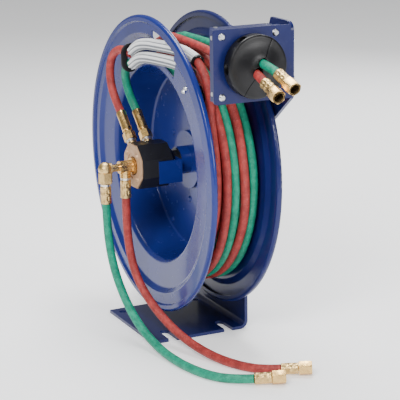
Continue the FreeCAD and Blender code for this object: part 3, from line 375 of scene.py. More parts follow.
@dataclass(frozen=True)
class WovenSleeve:
    """Pale woven sleeve, with painted shade darkening the grooves along its length."""

    name: str
    pale: Colour
    # groove: colour of the painted shade in the grooves between the lobes.
    groove: Colour
    lobes: int = 8

    def make(self) -> bpy.types.Material:
        """Build the material."""
        shader = Shader(self.name)
        surface = shader.where(Space.SURFACE)
        here = shader.where()
        around = (shader.axis(surface, 1) * (2 * math.pi * self.lobes)).sine()
        # Painted shade: the grooves between the lobes are darkened towards the groove colour.
        low = shader.step(around, -0.85, 0.20, 1.0, 0.0)
        cross = (shader.axis(surface, 0) * 700.0).sine()
        stain = shader.step(shader.noise(here, 70.0, 5.0, 0.7), 0.5, 0.75)
        cloth_with_painted_groove_shade = shader.mix(low * 0.9, self.pale, self.groove)
        seam = shader.step(shader.axis(surface, 1), 0.430, 0.436) * shader.step(
            shader.axis(surface, 1), 0.452, 0.458, 1.0, 0.0)
        lined = shader.mix(seam * 0.8, cloth_with_painted_groove_shade, (0.02, 0.30, 0.20))
        aged = shader.mix(stain * 0.22, lined, (0.45, 0.44, 0.40))
        height = cross * 0.4 + around * 0.6 + shader.noise(here, 900.0)
        return shader.finish(Base_Color=aged, Metallic=0.0, Roughness=0.62 + 0.15 * stain,
                             Normal=shader.bump(height, 0.35, 0.0005))


class Paint(Enum):
    """Finishes that several sub-assemblies share."""

    BLUE = PowderCoat("blue_coat", (0.005, 0.014, 0.130), (0.010, 0.022, 0.175))
    # Painted shade: a darker copy of the blue coat, for parts that sit in shade.
    BLUE_COAT_PAINTED_SHADE = PowderCoat("blue_coat_painted_shade", (0.004, 0.008, 0.068), (0.007, 0.012, 0.092), 0.28)
    ZINC = PlatedSteel("zinc_plate", (0.66, 0.67, 0.69), 0.26, (1.0, 1.0, 0.15))
    OILED = PlatedSteel("oiled_steel", (0.20, 0.21, 0.23), 0.34, (0.1, 1.0, 1.0))
    TURNED = Brass("turned_brass", (0.78, 0.51, 0.19), (0.46, 0.27, 0.095), 0.24)
    CAST = Brass("cast_brass", (0.76, 0.53, 0.22), (0.44, 0.28, 0.11), 0.33, 1.0)
    # Painted shade: near-black brass for the inside of the union nuts' bores, so the holes
    # read dark.
    BORE_PAINTED_SHADE = Brass("thread_bore_painted_shade", (0.09, 0.062, 0.030), (0.035, 0.024, 0.014), 0.55)
    PLATE = Brass("milled_brass", (0.50, 0.32, 0.19), (0.38, 0.23, 0.13), 0.50, 0.2, 0.8,
                  0.35)
    COLLAR = Brass("plated_collar", (0.86, 0.84, 0.80), (0.66, 0.62, 0.55), 0.30, 0.0, 0.4)
    BRONZE = Brass("sintered_bronze", (0.44, 0.29, 0.15), (0.25, 0.16, 0.09), 0.5, 0.6)
    BLACK = Anodised("black_anodised", (0.022, 0.022, 0.026), 9000.0)
    RUBBER = Rubber("black_rubber", (0.004, 0.004, 0.005), (0.018, 0.018, 0.021), 0.34)
    NYLON = Rubber("black_nylon", (0.014, 0.014, 0.017), (0.050, 0.050, 0.055), 0.30, 800.0)
    RED = HoseCover("red_hose_cover", (0.42, 0.048, 0.042), (0.24, 0.026, 0.024),
                    (0.56, 0.18, 0.17))
    GREEN = HoseCover("green_hose_cover", (0.003, 0.290, 0.170), (0.002, 0.165, 0.098),
                      (0.05, 0.40, 0.27))
    # The woven sleeve's dark second colour is painted shade for its grooves.
    WOVEN = WovenSleeve("woven_sleeve", (0.78, 0.79, 0.80), (0.10, 0.11, 0.13))


class Store:
    """Materials made so far, one for each finish."""

    def __init__(self) -> None:
        """Start empty."""
        self.made: dict[str, bpy.types.Material] = {}

    def material(self, paint: Paint) -> bpy.types.Material:
        """Return a finish's material, made on first use."""
        if paint.name not in self.made:
            self.made[paint.name] = paint.value.make()
        return self.made[paint.name]

    def dress(self, piece: bpy.types.Object, paint: Paint) -> None:
        """Give a piece one finish all over."""
        piece.data.materials.clear()
        piece.data.materials.append(self.material(paint))

    def dress_nodes(self, names: Sequence[str], paint: Paint) -> None:
        """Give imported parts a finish."""
        for name in names:
            self.dress(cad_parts[name], paint)
            LOG.info("%s: %s", name, paint.value.name)


STORE = Store()


# ---------------------------------------------------------------- modelling

class Bench:
    """Tools that shape a piece from a primitive."""

    @staticmethod
    def clear() -> None:
        """Leave edit mode and deselect everything."""
        if bpy.context.mode != "OBJECT":
            bpy.ops.object.mode_set(mode="OBJECT")
        bpy.ops.object.select_all(action="DESELECT")

    @staticmethod
    def pick(piece: bpy.types.Object) -> None:
        """Make one object the only selected and active one."""
        Bench.clear()
        piece.select_set(True)
        bpy.context.view_layer.objects.active = piece

    @staticmethod
    def apply(piece: bpy.types.Object, kind: str, **settings: Any) -> None:
        """Add a modifier and apply it.

        Args:
            piece: object to change.
            kind: the modifier's type.
            settings: its properties.
        """
        Bench.pick(piece)
        modifier = piece.modifiers.new(kind.title(), kind)
        for key, value in settings.items():
            setattr(modifier, key, value)
        bpy.ops.object.modifier_apply(modifier=modifier.name)

    @staticmethod
    def smooth(piece: bpy.types.Object, angle: float = 35.0) -> None:
        """Shade smooth below an angle in degrees."""
        Bench.pick(piece)
        bpy.ops.object.shade_smooth_by_angle(angle=math.radians(angle))

    @staticmethod
    def move(piece: bpy.types.Object, matrix: Matrix) -> None:
        """Put a piece in place by its mesh, with its object at the origin."""
        piece.data.transform(matrix @ piece.matrix_world)
        piece.matrix_world = Matrix.Identity(4)
        piece.data.update()

    @staticmethod
    def turned(name: str, profile: Sequence[tuple[float, float]],
               steps: int = 64) -> bpy.types.Object:
        """Spin a profile about Z.

        Args:
            name: the piece's name.
            profile: (radius, height) corners; a closed ring when the ends agree.
            steps: segments of the turn.

        Returns:
            The piece, at the origin.
        """
        Bench.clear()
        bpy.ops.mesh.primitive_plane_add(size=0.001, location=(0, 0, 0))
        piece = bpy.context.active_object
        piece.name = name
        bpy.ops.object.mode_set(mode="EDIT")
        bpy.ops.mesh.select_all(action="SELECT")
        bpy.ops.mesh.merge(type="CENTER")
        radius, height = profile[0]
        bpy.ops.transform.translate(value=(radius, 0, height))
        for (radius, height), (after, level) in zip(profile, profile[1:]):
            bpy.ops.mesh.extrude_region_move(
                TRANSFORM_OT_translate={"value": (after - radius, 0, level - height)})
        bpy.ops.mesh.select_all(action="SELECT")
        bpy.ops.mesh.spin(steps=steps, angle=2 * math.pi, center=(0, 0, 0), axis=(0, 0, 1))
        bpy.ops.mesh.select_all(action="SELECT")
        bpy.ops.mesh.remove_doubles(threshold=0.000005)
        bpy.ops.mesh.normals_make_consistent(inside=False)
        bpy.ops.object.mode_set(mode="OBJECT")
        return piece

    @staticmethod
    def prism(name: str, sides: int, flats: float, length: float,
              start: float = 0.0) -> bpy.types.Object:
        """Prism along Z, from a cylinder primitive, with its ends chamfered round.

        Args:
            name: the piece's name.
            sides: number of flats.
            flats: distance across them.
            length: length along Z.
            start: height of the lower end.

        Returns:
            The piece.
        """
        corner = flats / 2 / math.cos(math.pi / sides)
        Bench.clear()
        bpy.ops.mesh.primitive_cylinder_add(
            vertices=sides, radius=corner, depth=length, location=(0, 0, start + length / 2))
        piece = bpy.context.active_object
        piece.name = name
        Bench.move(piece, Matrix.Identity(4))
        edge = min((corner - flats / 2) * 0.62, length / 5)
        barrel = Bench.turned(f"{name}_barrel", [
            (0.0, start - 1e-5), (flats / 2 * 0.985, start - 1e-5),
            (corner * 1.01, start + edge), (corner * 1.01, start + length - edge),
            (flats / 2 * 0.985, start + length + 1e-5), (0.0, start + length + 1e-5)])
        Bench.combine(piece, barrel, "INTERSECT")
        return piece

    @staticmethod
    def combine(piece: bpy.types.Object, other: bpy.types.Object, operation: str) -> None:
        """Boolean with another object, which is then removed."""
        Bench.apply(piece, "BOOLEAN", operation=operation, object=other, solver="EXACT")
        bpy.data.objects.remove(other)

    @staticmethod
    def drill(piece: bpy.types.Object, radius: float, length: float, at: Point,
              direction: Point = (0.0, 0.0, 1.0), sides: int = 40) -> None:
        """Cut a round hole from a point along a direction."""
        Bench.clear()
        bpy.ops.mesh.primitive_cylinder_add(vertices=sides, radius=radius, depth=length)
        tool = bpy.context.active_object
        heading = Vector(direction).normalized()
        turn = heading.to_track_quat("Z", "Y").to_matrix().to_4x4()
        middle = Vector(at) + heading * (length / 2)
        Bench.move(tool, Matrix.Translation(middle) @ turn)
        Bench.combine(piece, tool, "DIFFERENCE")

    @staticmethod
    def bevel(piece: bpy.types.Object, width: float, segments: int = 2,
              angle: float = 40.0) -> None:
        """Round the sharp edges."""
        Bench.apply(piece, "BEVEL", width=width, segments=segments, limit_method="ANGLE",
                    angle_limit=math.radians(angle), harden_normals=False)

    @staticmethod
    def joined(name: str, parts: Sequence[bpy.types.Object]) -> bpy.types.Object:
        """Join pieces into one object called name."""
        Bench.pick(parts[0])
        for part in parts[1:]:
            part.select_set(True)
        if len(parts) > 1:
            bpy.ops.object.join()
        parts[0].name = name
        return parts[0]

    @staticmethod
    def spline(name: str, route: Sequence[Point], radius: float) -> bpy.types.Object:
        """Smooth round line along a route.

        Args:
            name: the piece's name.
            route: control points in metres.
            radius: half the line's thickness.

        Returns:
            The curve object.
        """
        data = bpy.data.curves.new(name, "CURVE")
        data.dimensions = "3D"
        line = data.splines.new("NURBS")
        line.points.add(len(route) - 1)
        for point, at in zip(line.points, route):
            point.co = (*at, 1.0)
        line.order_u = 3
        line.use_endpoint_u = True
        data.resolution_u = 10
        data.bevel_depth = radius
        data.bevel_resolution = 5
        data.use_fill_caps = True
        curve = bpy.data.objects.new(name, data)
        bpy.context.scene.collection.objects.link(curve)
        return curve

    @staticmethod
    def closed(name: str, corners: Sequence[Point], flat: bool = True) -> bpy.types.Object:
        """Closed line through corners.

        Args:
            name: the line's name.
            corners: its points in metres.
            flat: whether it is a flat section.

        Returns:
            The curve object.
        """
        data = bpy.data.curves.new(name, "CURVE")
        data.dimensions = "2D" if flat else "3D"
        line = data.splines.new("POLY")
        line.points.add(len(corners) - 1)
        for point, at in zip(line.points, corners):
            point.co = (*at, 1.0)
        line.use_cyclic_u = True
        curve = bpy.data.objects.new(name, data)
        bpy.context.scene.collection.objects.link(curve)
        return curve

    @staticmethod
    def lengthwise(route: Sequence[Point]) -> list[Vector]:
        """Points along a route's smooth line.

        Args:
            route: control points.

        Returns:
            The line's points, close together.
        """
        curve = Bench.spline("line", route, 0.0)
        mesh = bpy.data.meshes.new_from_object(curve)
        points = [vertex.co.copy() for vertex in mesh.vertices]
        bpy.data.objects.remove(curve)
        bpy.data.meshes.remove(mesh)
        return points


def facing(start: Vector, direction: Vector) -> Matrix:
    """Matrix that takes the origin and +Z to a point and a direction."""
    turn = direction.normalized().to_track_quat("Z", "Y").to_matrix().to_4x4()
    return Matrix.Translation(start) @ turn


def measured(points: Sequence[Vector]) -> float:
    """Length of a chain of points."""
    return sum((b - a).length for a, b in zip(points, points[1:]))


def millimetres(route: Sequence[Point]) -> list[Point]:
    """A route given in millimetres, in metres."""
    return [tuple(value / 1000 for value in point) for point in route]


# -------------------------------------------------------------------- studio

@dataclass
class Studio:
    """Camera, lights and pale floor."""

    eye: Point = (-0.931, -2.029, 0.772)
    azimuth: float = -25.6
    elevation: float = 14.58
    roll: float = -0.82
    lens: float = 137.1
    floor: Colour = (0.93, 0.935, 0.945)

    def camera(self) -> None:
        """Place the camera."""
        data = bpy.data.cameras.new("Camera")
        data.lens = self.lens
        data.sensor_width = 36.0
        data.clip_end = 50.0
        camera = bpy.data.objects.new("Camera", data)
        a, e = math.radians(self.azimuth), math.radians(self.elevation)
        back = Vector((math.sin(a) * math.cos(e), -math.cos(a) * math.cos(e), math.sin(e)))
        camera.rotation_mode = "QUATERNION"
        level = (-back).to_track_quat("-Z", "Y")
        camera.rotation_quaternion = level @ Quaternion((0, 0, 1), math.radians(self.roll))
        camera.location = self.eye
        bpy.context.scene.collection.objects.link(camera)
        bpy.context.scene.camera = camera

    def light(self, name: str, at: Point, power: float, size: float,
              target: Point = (0.0, 0.0, 0.22)) -> None:
        """Add one soft square light that faces a target."""
        data = bpy.data.lights.new(name, "AREA")
        data.energy = power
        data.size = size
        lamp = bpy.data.objects.new(name, data)
        lamp.location = at
        lamp.rotation_mode = "QUATERNION"
        lamp.rotation_quaternion = (Vector(target) - Vector(at)).to_track_quat("-Z", "Y")
        bpy.context.scene.collection.objects.link(lamp)

    def build(self) -> None:
        """Make floor, lights and sky."""
        Bench.clear()
        bpy.ops.mesh.primitive_plane_add(size=12.0, location=(0, 0, 0))
        ground = bpy.context.active_object
        ground.name = "Floor"
        Bench.move(ground, Matrix.Identity(4))
        shader = Shader("floor_paper")
        cloud = shader.noise(shader.where(), 3.0)
        tone = shader.mix(cloud, self.floor, tuple(0.97 * value for value in self.floor))
        ground.data.materials.append(shader.finish(
            Base_Color=tone, Roughness=0.8, Emission_Color=tone, Emission_Strength=0.36))
        ground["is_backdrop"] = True
        self.light("Key", (-1.5, -1.6, 1.9), 78.0, 0.9)
        self.light("Front", (0.9, -2.2, 0.9), 24.0, 0.8)
        self.light("Top", (0.2, 0.5, 2.4), 80.0, 1.3)
        self.light("Back", (1.6, 1.4, 1.2), 20.0, 1.0)
        world = bpy.data.worlds.new("Sky")
        world.use_nodes = True
        sky = world.node_tree.nodes["Background"]
        sky.inputs["Color"].default_value = (1.0, 1.0, 1.0, 1.0)
        sky.inputs["Strength"].default_value = 0.30
        bpy.context.scene.world = world


# ----------------------------------------------------------------- free hoses

INLET_ROUTES = {
    "green": [(-113, 0, 201), (-113, -1.5, 165), (-111, -6, 128), (-107, -16, 93),
              (-102, -36, 61), (-97, -66, 34), (-91.5, -105, 16), (-87, -150, 7.6),
              (-81.5, -203, 6.5), (-69, -247, 6.5), (-48, -277, 6.8), (-22, -295.5, 9.4)],
    "red": [(-81, 0, 206), (-81.6, -1.5, 168), (-81.3, -8, 129), (-78.5, -22, 93),
            (-72.5, -47, 65), (-64.5, -83, 42), (-54.5, -118, 25), (-42.5, -155, 13.5),
            (-29, -198, 7.6), (-12.5, -237, 6.6), (8, -265, 7.0), (28.5, -279.5, 9.4)],
}
INLET_AIMS = {"green": (19, -313, 11.2), "red": (67, -300, 11.2)}
OUTLET_ROUTES = {
    "green": [(22, 6, 439.8), (19, -75, 441.2), (15.5, -150, 440.8), (12.8, -212, 438.8),
              (12.3, -262, 437.4), (15, -297, 428.5)],
    "red": [(3, 6, 439.8), (3.2, -75, 438.4), (4, -150, 431.5), (5.2, -212, 427),
            (5.0, -255, 425), (0.5, -287, 416)],
}
OUTLET_AIMS = {"green": (17.4, -340, 413), "red": (-1.2, -325, 404.5)}
JUMPER_ROUTES = {
    "red": [(-59.5, 62.23, 322.3), (-61.2, 76, 337.5), (-62.3, 92, 360), (-61.5, 97, 386),
            (-59.5, 88, 408), (-56.8, 66, 418.5), (-54.4, 46, 417), (-54, 29, 415.8)],
    "green": [(-33.5, 62.23, 322.3), (-35.5, 72, 333.5), (-41, 76, 352), (-46.5, 71.5, 371),
              (-50.5, 62, 387), (-53.2, 47, 400), (-54, 29, 402.2)],
}
SLEEVE_ROUTES = {
    "upper": [(-54, 24, 420), (-55, 2, 432), (-51, -24, 437.5), (-42, -46, 436.5),
              (-29, -68, 434.5), (-20, -92, 431), (-17, -118, 423)],
    "lower": [(-54, 24, 400.5), (-55, 0, 413), (-53, -24, 418), (-45, -46, 417.5),
              (-32.5, -68, 415), (-24.5, -88, 411.5), (-24.5, -108, 404)],
}
FEED_ROUTES = {
    "green": [(-24.5, -108, 404), (-24.2, -122.5, 394), (-24.2, -134, 377.8),
              (-24.6, -141, 358.9), (-24.9, -145.9, 344.1)],
    "red": [(-17, -118, 423), (-14.5, -134, 410), (-12.8, -145, 388),
            (-11.6, -148, 364.3), (-11, -146.7, 344.7)],
}
HOSE_PAINT = {"red": Paint.RED, "green": Paint.GREEN}


@dataclass
class Ferrule:
    """Crimped brass sleeve on a hose, along +Z from the hose's side."""

    name: str
    radius: float
    length: float
    tail: Sequence[tuple[float, float]] = ()
    plain: bool = False

    def profile(self) -> list[tuple[float, float]]:
        """Corners of the sleeve, with fine rings, and of its tail."""
        rings = [(0.0, 0.0006), (0.0060, 0.0006), (0.0064, 0.0),
                 (self.radius - 0.0003, 0.0003), (self.radius, 0.0010)]
        if self.plain:
            waist = self.radius - 0.0003
            return rings + [
                (waist, 0.3 * self.length), (waist, 0.8 * self.length),
                (self.radius, 0.9 * self.length), (self.radius, self.length - 0.0006),
                (self.radius - 0.0005, self.length), (0.0, self.length)]
        pitch, rise, relief = 0.0011, 0.00014, 0.0001
        for step in range(1, round((self.length - 0.002) / pitch)):
            rings.append((self.radius - relief - rise * (step % 2), 0.001 + step * pitch))
        rings += [(self.radius, self.length - 0.0008), (self.radius - 0.0004, self.length)]
        return rings + list(self.tail or [(0.0, self.length)])

    def crimp(self, vertex: bpy.types.MeshVertex) -> None:
        """Press eight flats into two bands round the sleeve."""
        if vertex.co.x ** 2 + vertex.co.y ** 2 < (self.radius - 0.0012) ** 2:
            return
        bands = ((0.32, 0.14), (0.72, 0.12))
        flats, deepest = 8, 0.0010
        share = vertex.co.z / self.length
        band = sum(math.exp(-((share - middle) / width) ** 4) for middle, width in bands)
        angle = math.atan2(vertex.co.y, vertex.co.x)
        depth = deepest * min(band, 1.0) * (0.5 + 0.5 * math.cos(flats * angle))
        scale = 1 - depth / self.radius
        vertex.co.x *= scale
        vertex.co.y *= scale

    def build(self) -> bpy.types.Object:
        """Model the sleeve at the origin."""
        sleeve = Bench.turned(self.name, self.profile(), 72)
        if not self.plain:
            for vertex in sleeve.data.vertices:
                self.crimp(vertex)
        return sleeve


@dataclass
class HoseEnd:
    """Crimped ferrule, nipple and union nut on a hose's end."""

    label: str
    start: Vector
    direction: Vector
    flats: float = 0.0175
    ferrule: float = 0.024
    nut_length: float = 0.019

    def build(self) -> list[bpy.types.Object]:
        """Model both pieces.

        Returns:
            The ferrule and the nut.
        """
        sleeve = Ferrule(f"{self.label}_crimp", 0.0080, self.ferrule, [
            (0.0045, 0.024), (0.0045, 0.0288), (0.0054, 0.0292), (0.0054, 0.0310),
            (0.0046, 0.0318), (0.0030, 0.0318), (0.0030, 0.0200), (0.0, 0.0200)]).build()
        Bench.move(sleeve, facing(self.start, self.direction))
        Bench.smooth(sleeve, 40)
        STORE.dress(sleeve, Paint.CAST)
        nut = Bench.prism(f"{self.label}_union", 6, self.flats, self.nut_length)
        Bench.drill(nut, 0.0046, 0.010, (0, 0, -0.001))
        Bench.drill(nut, 0.0056, 0.006, (0, 0, 0.004))
        thread = 0.0068
        Bench.drill(nut, thread, 0.030, (0, 0, 0.008))
        Bench.bevel(nut, 0.0003, 2)
        STORE.dress(nut, Paint.TURNED)
        # The bore's inner faces past the front take the painted-shade brass, darkening the
        # hole.
        nut.data.materials.append(STORE.material(Paint.BORE_PAINTED_SHADE))
        for face in nut.data.polygons:
            inside = face.center.xy.length < thread + 0.00001
            if inside and face.center.z > 0.001:
                face.material_index = 1
        Bench.move(nut, facing(self.start + self.direction * (self.ferrule + 0.0004),
                               self.direction))
        Bench.smooth(nut, 30)
        for piece, node in ((sleeve, f"{self.label}_ferrule"), (nut, f"{self.label}_nut")):
            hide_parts(node)
        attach(sleeve, "frame")
        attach(nut, f"{self.label}_nut")
        LOG.info("%s: ferrule and nut", self.label)
        return [sleeve, nut]


@dataclass
class FreeHoses:
    """The two inlet and two outlet hoses with their ends."""

    radius: float = HOSE_DIAMETER / 2

    def build(self) -> None:
        for kind, routes, aims, lay in (("inlet", INLET_ROUTES, INLET_AIMS, "loose"),
                                        ("outlet", OUTLET_ROUTES, OUTLET_AIMS, "taut")):
            for colour, route in routes.items():
                laid = millimetres(route)
                hose = Bench.spline(f"{kind}_hose_{colour}_laid", laid, self.radius)
                STORE.dress(hose, HOSE_PAINT[colour])
                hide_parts(f"{kind}_hose_{colour}")
                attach(hose, "frame")
                end = Vector(laid[-1])
                aim = Vector(millimetres([aims[colour]])[0])
                pieces = HoseEnd(f"{kind}_{colour}", end, (aim - end).normalized()).build()
                length = round(measured(Bench.lengthwise(laid)), 3)
                LOG.info("%s hose %s: %.3f m", kind, colour, length)


# ---------------------------------------------------------------------- spool

@dataclass(frozen=True)
class Station:
    """A place that a wound hose passes: degrees and millimetres."""

    turn: float
    along: float
    radius: float


@dataclass
class Winding:
    """One hose on the drum, from the disc's window to the top of the spool."""

    colour: str
    stations: Sequence[Station]
    step: float = 24.0
    wander: float = 1.3

    def route(self) -> list[Point]:
        """Control points of the whole hose.

        Returns:
            The feed's points, then about fifteen for each turn.
        """
        chance = random.Random(self.colour)
        points = millimetres(FEED_ROUTES[self.colour])
        turn = self.stations[0].turn + self.step
        while turn < self.stations[-1].turn - 1:
            along, radius = self.between(turn)
            quiet = min(1.0, (self.stations[-1].turn - turn) / 90)
            points.append(self.spot(turn, along + chance.uniform(-1, 1) * self.wander * quiet,
                                    radius + chance.uniform(0, 1) * self.wander * 0.6))
            turn += self.step
        last = self.stations[-1]
        points.append(self.spot(last.turn, last.along, last.radius))
        return points

    def between(self, turn: float) -> tuple[float, float]:
        """Place along the axle and radius at a turn in degrees."""
        for first, second in zip(self.stations, self.stations[1:]):
            if turn <= second.turn:
                share = (turn - first.turn) / (second.turn - first.turn)
                lift = share * share * (3 - 2 * share)
                return (first.along + (second.along - first.along) * share,
                        first.radius + (second.radius - first.radius) * lift)
        return self.stations[-1].along, self.stations[-1].radius

    @staticmethod
    def spot(turn: float, along: float, radius: float) -> Point:
        """Point at a turn about the axle; 0 is up and 90 is the front."""
        angle = math.radians(turn)
        return (along / 1000, -radius * math.sin(angle) / 1000,
                AXLE.z + radius * math.cos(angle) / 1000)

    def build(self) -> None:
        route = self.route()
        hose = Bench.spline(f"wound_hose_{self.colour}", route, HOSE_DIAMETER / 2)
        hose.data.resolution_u = 5
        STORE.dress(hose, HOSE_PAINT[self.colour])
        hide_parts(f"coil_{self.colour}")
        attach(hose, "spool")
        length = round(measured(Bench.lengthwise(route)), 2)
        LOG.info("wound hose %s: %.2f m", self.colour, length)


GREEN_WINDING = [
    Station(58, -24.9, 172.0), Station(150, -25, 171.5), Station(240, -25, 155.2),
    Station(300, -25, 155.2), Station(1290, 45.4, 155.2), Station(1350, 45.6, 166.8),
    Station(1800, 13.6, 166.8), Station(1860, 13.6, 172.0), Station(2000, 23.6, 178.2),
    Station(2310, 45.6, 178.2), Station(2370, 41, 189), Station(2520, 22, 186.8)]
RED_WINDING = [
    Station(58, -11, 173.0), Station(90, -12, 168), Station(150, -12.2, 168),
    Station(240, -12.2, 155.2), Station(300, -12.2, 155.2), Station(1110, 45.4, 155.2),
    Station(1170, 45.8, 166.8), Station(1350, 32.8, 166.8), Station(1800, 0.8, 166.8),
    Station(1860, 0.8, 172), Station(2000, 10.8, 178.2), Station(2310, 32.8, 178.2),
    Station(2370, 26, 189), Station(2520, 3.0, 186.8)]


@dataclass
class Sleeves:
    """Two woven sleeves, and the oval rubber ring at their mouth."""

    radius: float = 0.0088
    lobes: int = 8
    groove: float = 0.0022

    def section(self) -> bpy.types.Object:
        """Closed outline with lobes, used as the sleeves' section."""
        count = self.lobes * 8
        corners = []
        for number in range(count):
            angle = 2 * math.pi * number / count
            radius = self.radius + self.groove * (abs(math.sin(self.lobes * angle / 2)) - 1)
            corners.append((radius * math.cos(angle), radius * math.sin(angle), 0.0))
        return Bench.closed("sleeve_section", corners)

    def build(self) -> None:
        """Sweep both sleeves and the ring."""
        outline = self.section()
        tubes = []
        for name, route in SLEEVE_ROUTES.items():
            tube = Bench.spline(f"sleeve_{name}", millimetres(route), 0.0)
            tube.data.bevel_mode = "OBJECT"
            tube.data.bevel_object = outline
            Bench.pick(tube)
            bpy.ops.object.convert(target="MESH")
            tubes.append(bpy.context.active_object)
        bpy.data.objects.remove(outline)
        woven = Bench.joined("woven_sleeves", tubes)
        Bench.smooth(woven, 50)
        STORE.dress(woven, Paint.WOVEN)
        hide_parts("sleeves")
        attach(woven, "spool")
        LOG.info("woven sleeves")
        self.ring()

    def ring(self) -> None:
        """Oval rubber ring, swept from a rounded section."""
        half_wall, half_depth, squareness, sides = 0.0017, 0.0053, 0.6, 24
        section = []
        for number in range(sides):
            angle = 2 * math.pi * number / sides
            across, along = math.cos(angle), math.sin(angle)
            section.append((half_wall * math.copysign(abs(across) ** squareness, across),
                            half_depth * math.copysign(abs(along) ** squareness, along),
                            0.0))
        outline = Bench.closed("ring_section", section)
        middle, plane, upper, lower = -0.054, 0.0345, 0.4162, 0.4023
        bend, steps = 0.00925, 56
        path = []
        for number in range(steps):
            angle = 2 * math.pi * number / steps
            level = upper if math.sin(angle) > 0 else lower
            path.append((middle + bend * math.cos(angle), plane,
                         level + bend * math.sin(angle)))
        ring = Bench.closed("mouth_ring", path, flat=False)
        ring.data.bevel_mode = "OBJECT"
        ring.data.bevel_object = outline
        Bench.pick(ring)
        bpy.ops.object.convert(target="MESH")
        ring = bpy.context.active_object
        bpy.data.objects.remove(outline)
        Bench.smooth(ring, 50)
        STORE.dress(ring, Paint.RUBBER)
        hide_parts("grommet")
        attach(ring, "spool")
        LOG.info("mouth ring")


@dataclass
class Spool:
    """Discs, hub, spring and the wound hoses."""

    windings: list[Winding] = field(default_factory=lambda: [
        Winding("green", GREEN_WINDING), Winding("red", RED_WINDING)])

    def build(self) -> None:
        """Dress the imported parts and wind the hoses."""
        for winding in self.windings:
            winding.build()
        Sleeves().build()
        STORE.dress_nodes(["near_disc", "swivel_bracket", "hub", "web_fasteners"],
                          Paint.BLUE)
        # The far disc and spring housing take the blue coat's painted-shade copy.
        STORE.dress_nodes(["far_disc", "spring_case", "spring_cover"], Paint.BLUE_COAT_PAINTED_SHADE)
        STORE.dress_nodes(["clip_screws", "feed_band", "ratchet_wheel"], Paint.ZINC)
        STORE.dress_nodes(["power_spring"], Paint.OILED)
        STORE.dress_nodes(["bushes"], Paint.BRONZE)
        STORE.dress_nodes(["sleeve_caps", "feed_cuff"], Paint.RUBBER)


# --------------------------------------------------------------------- swivel

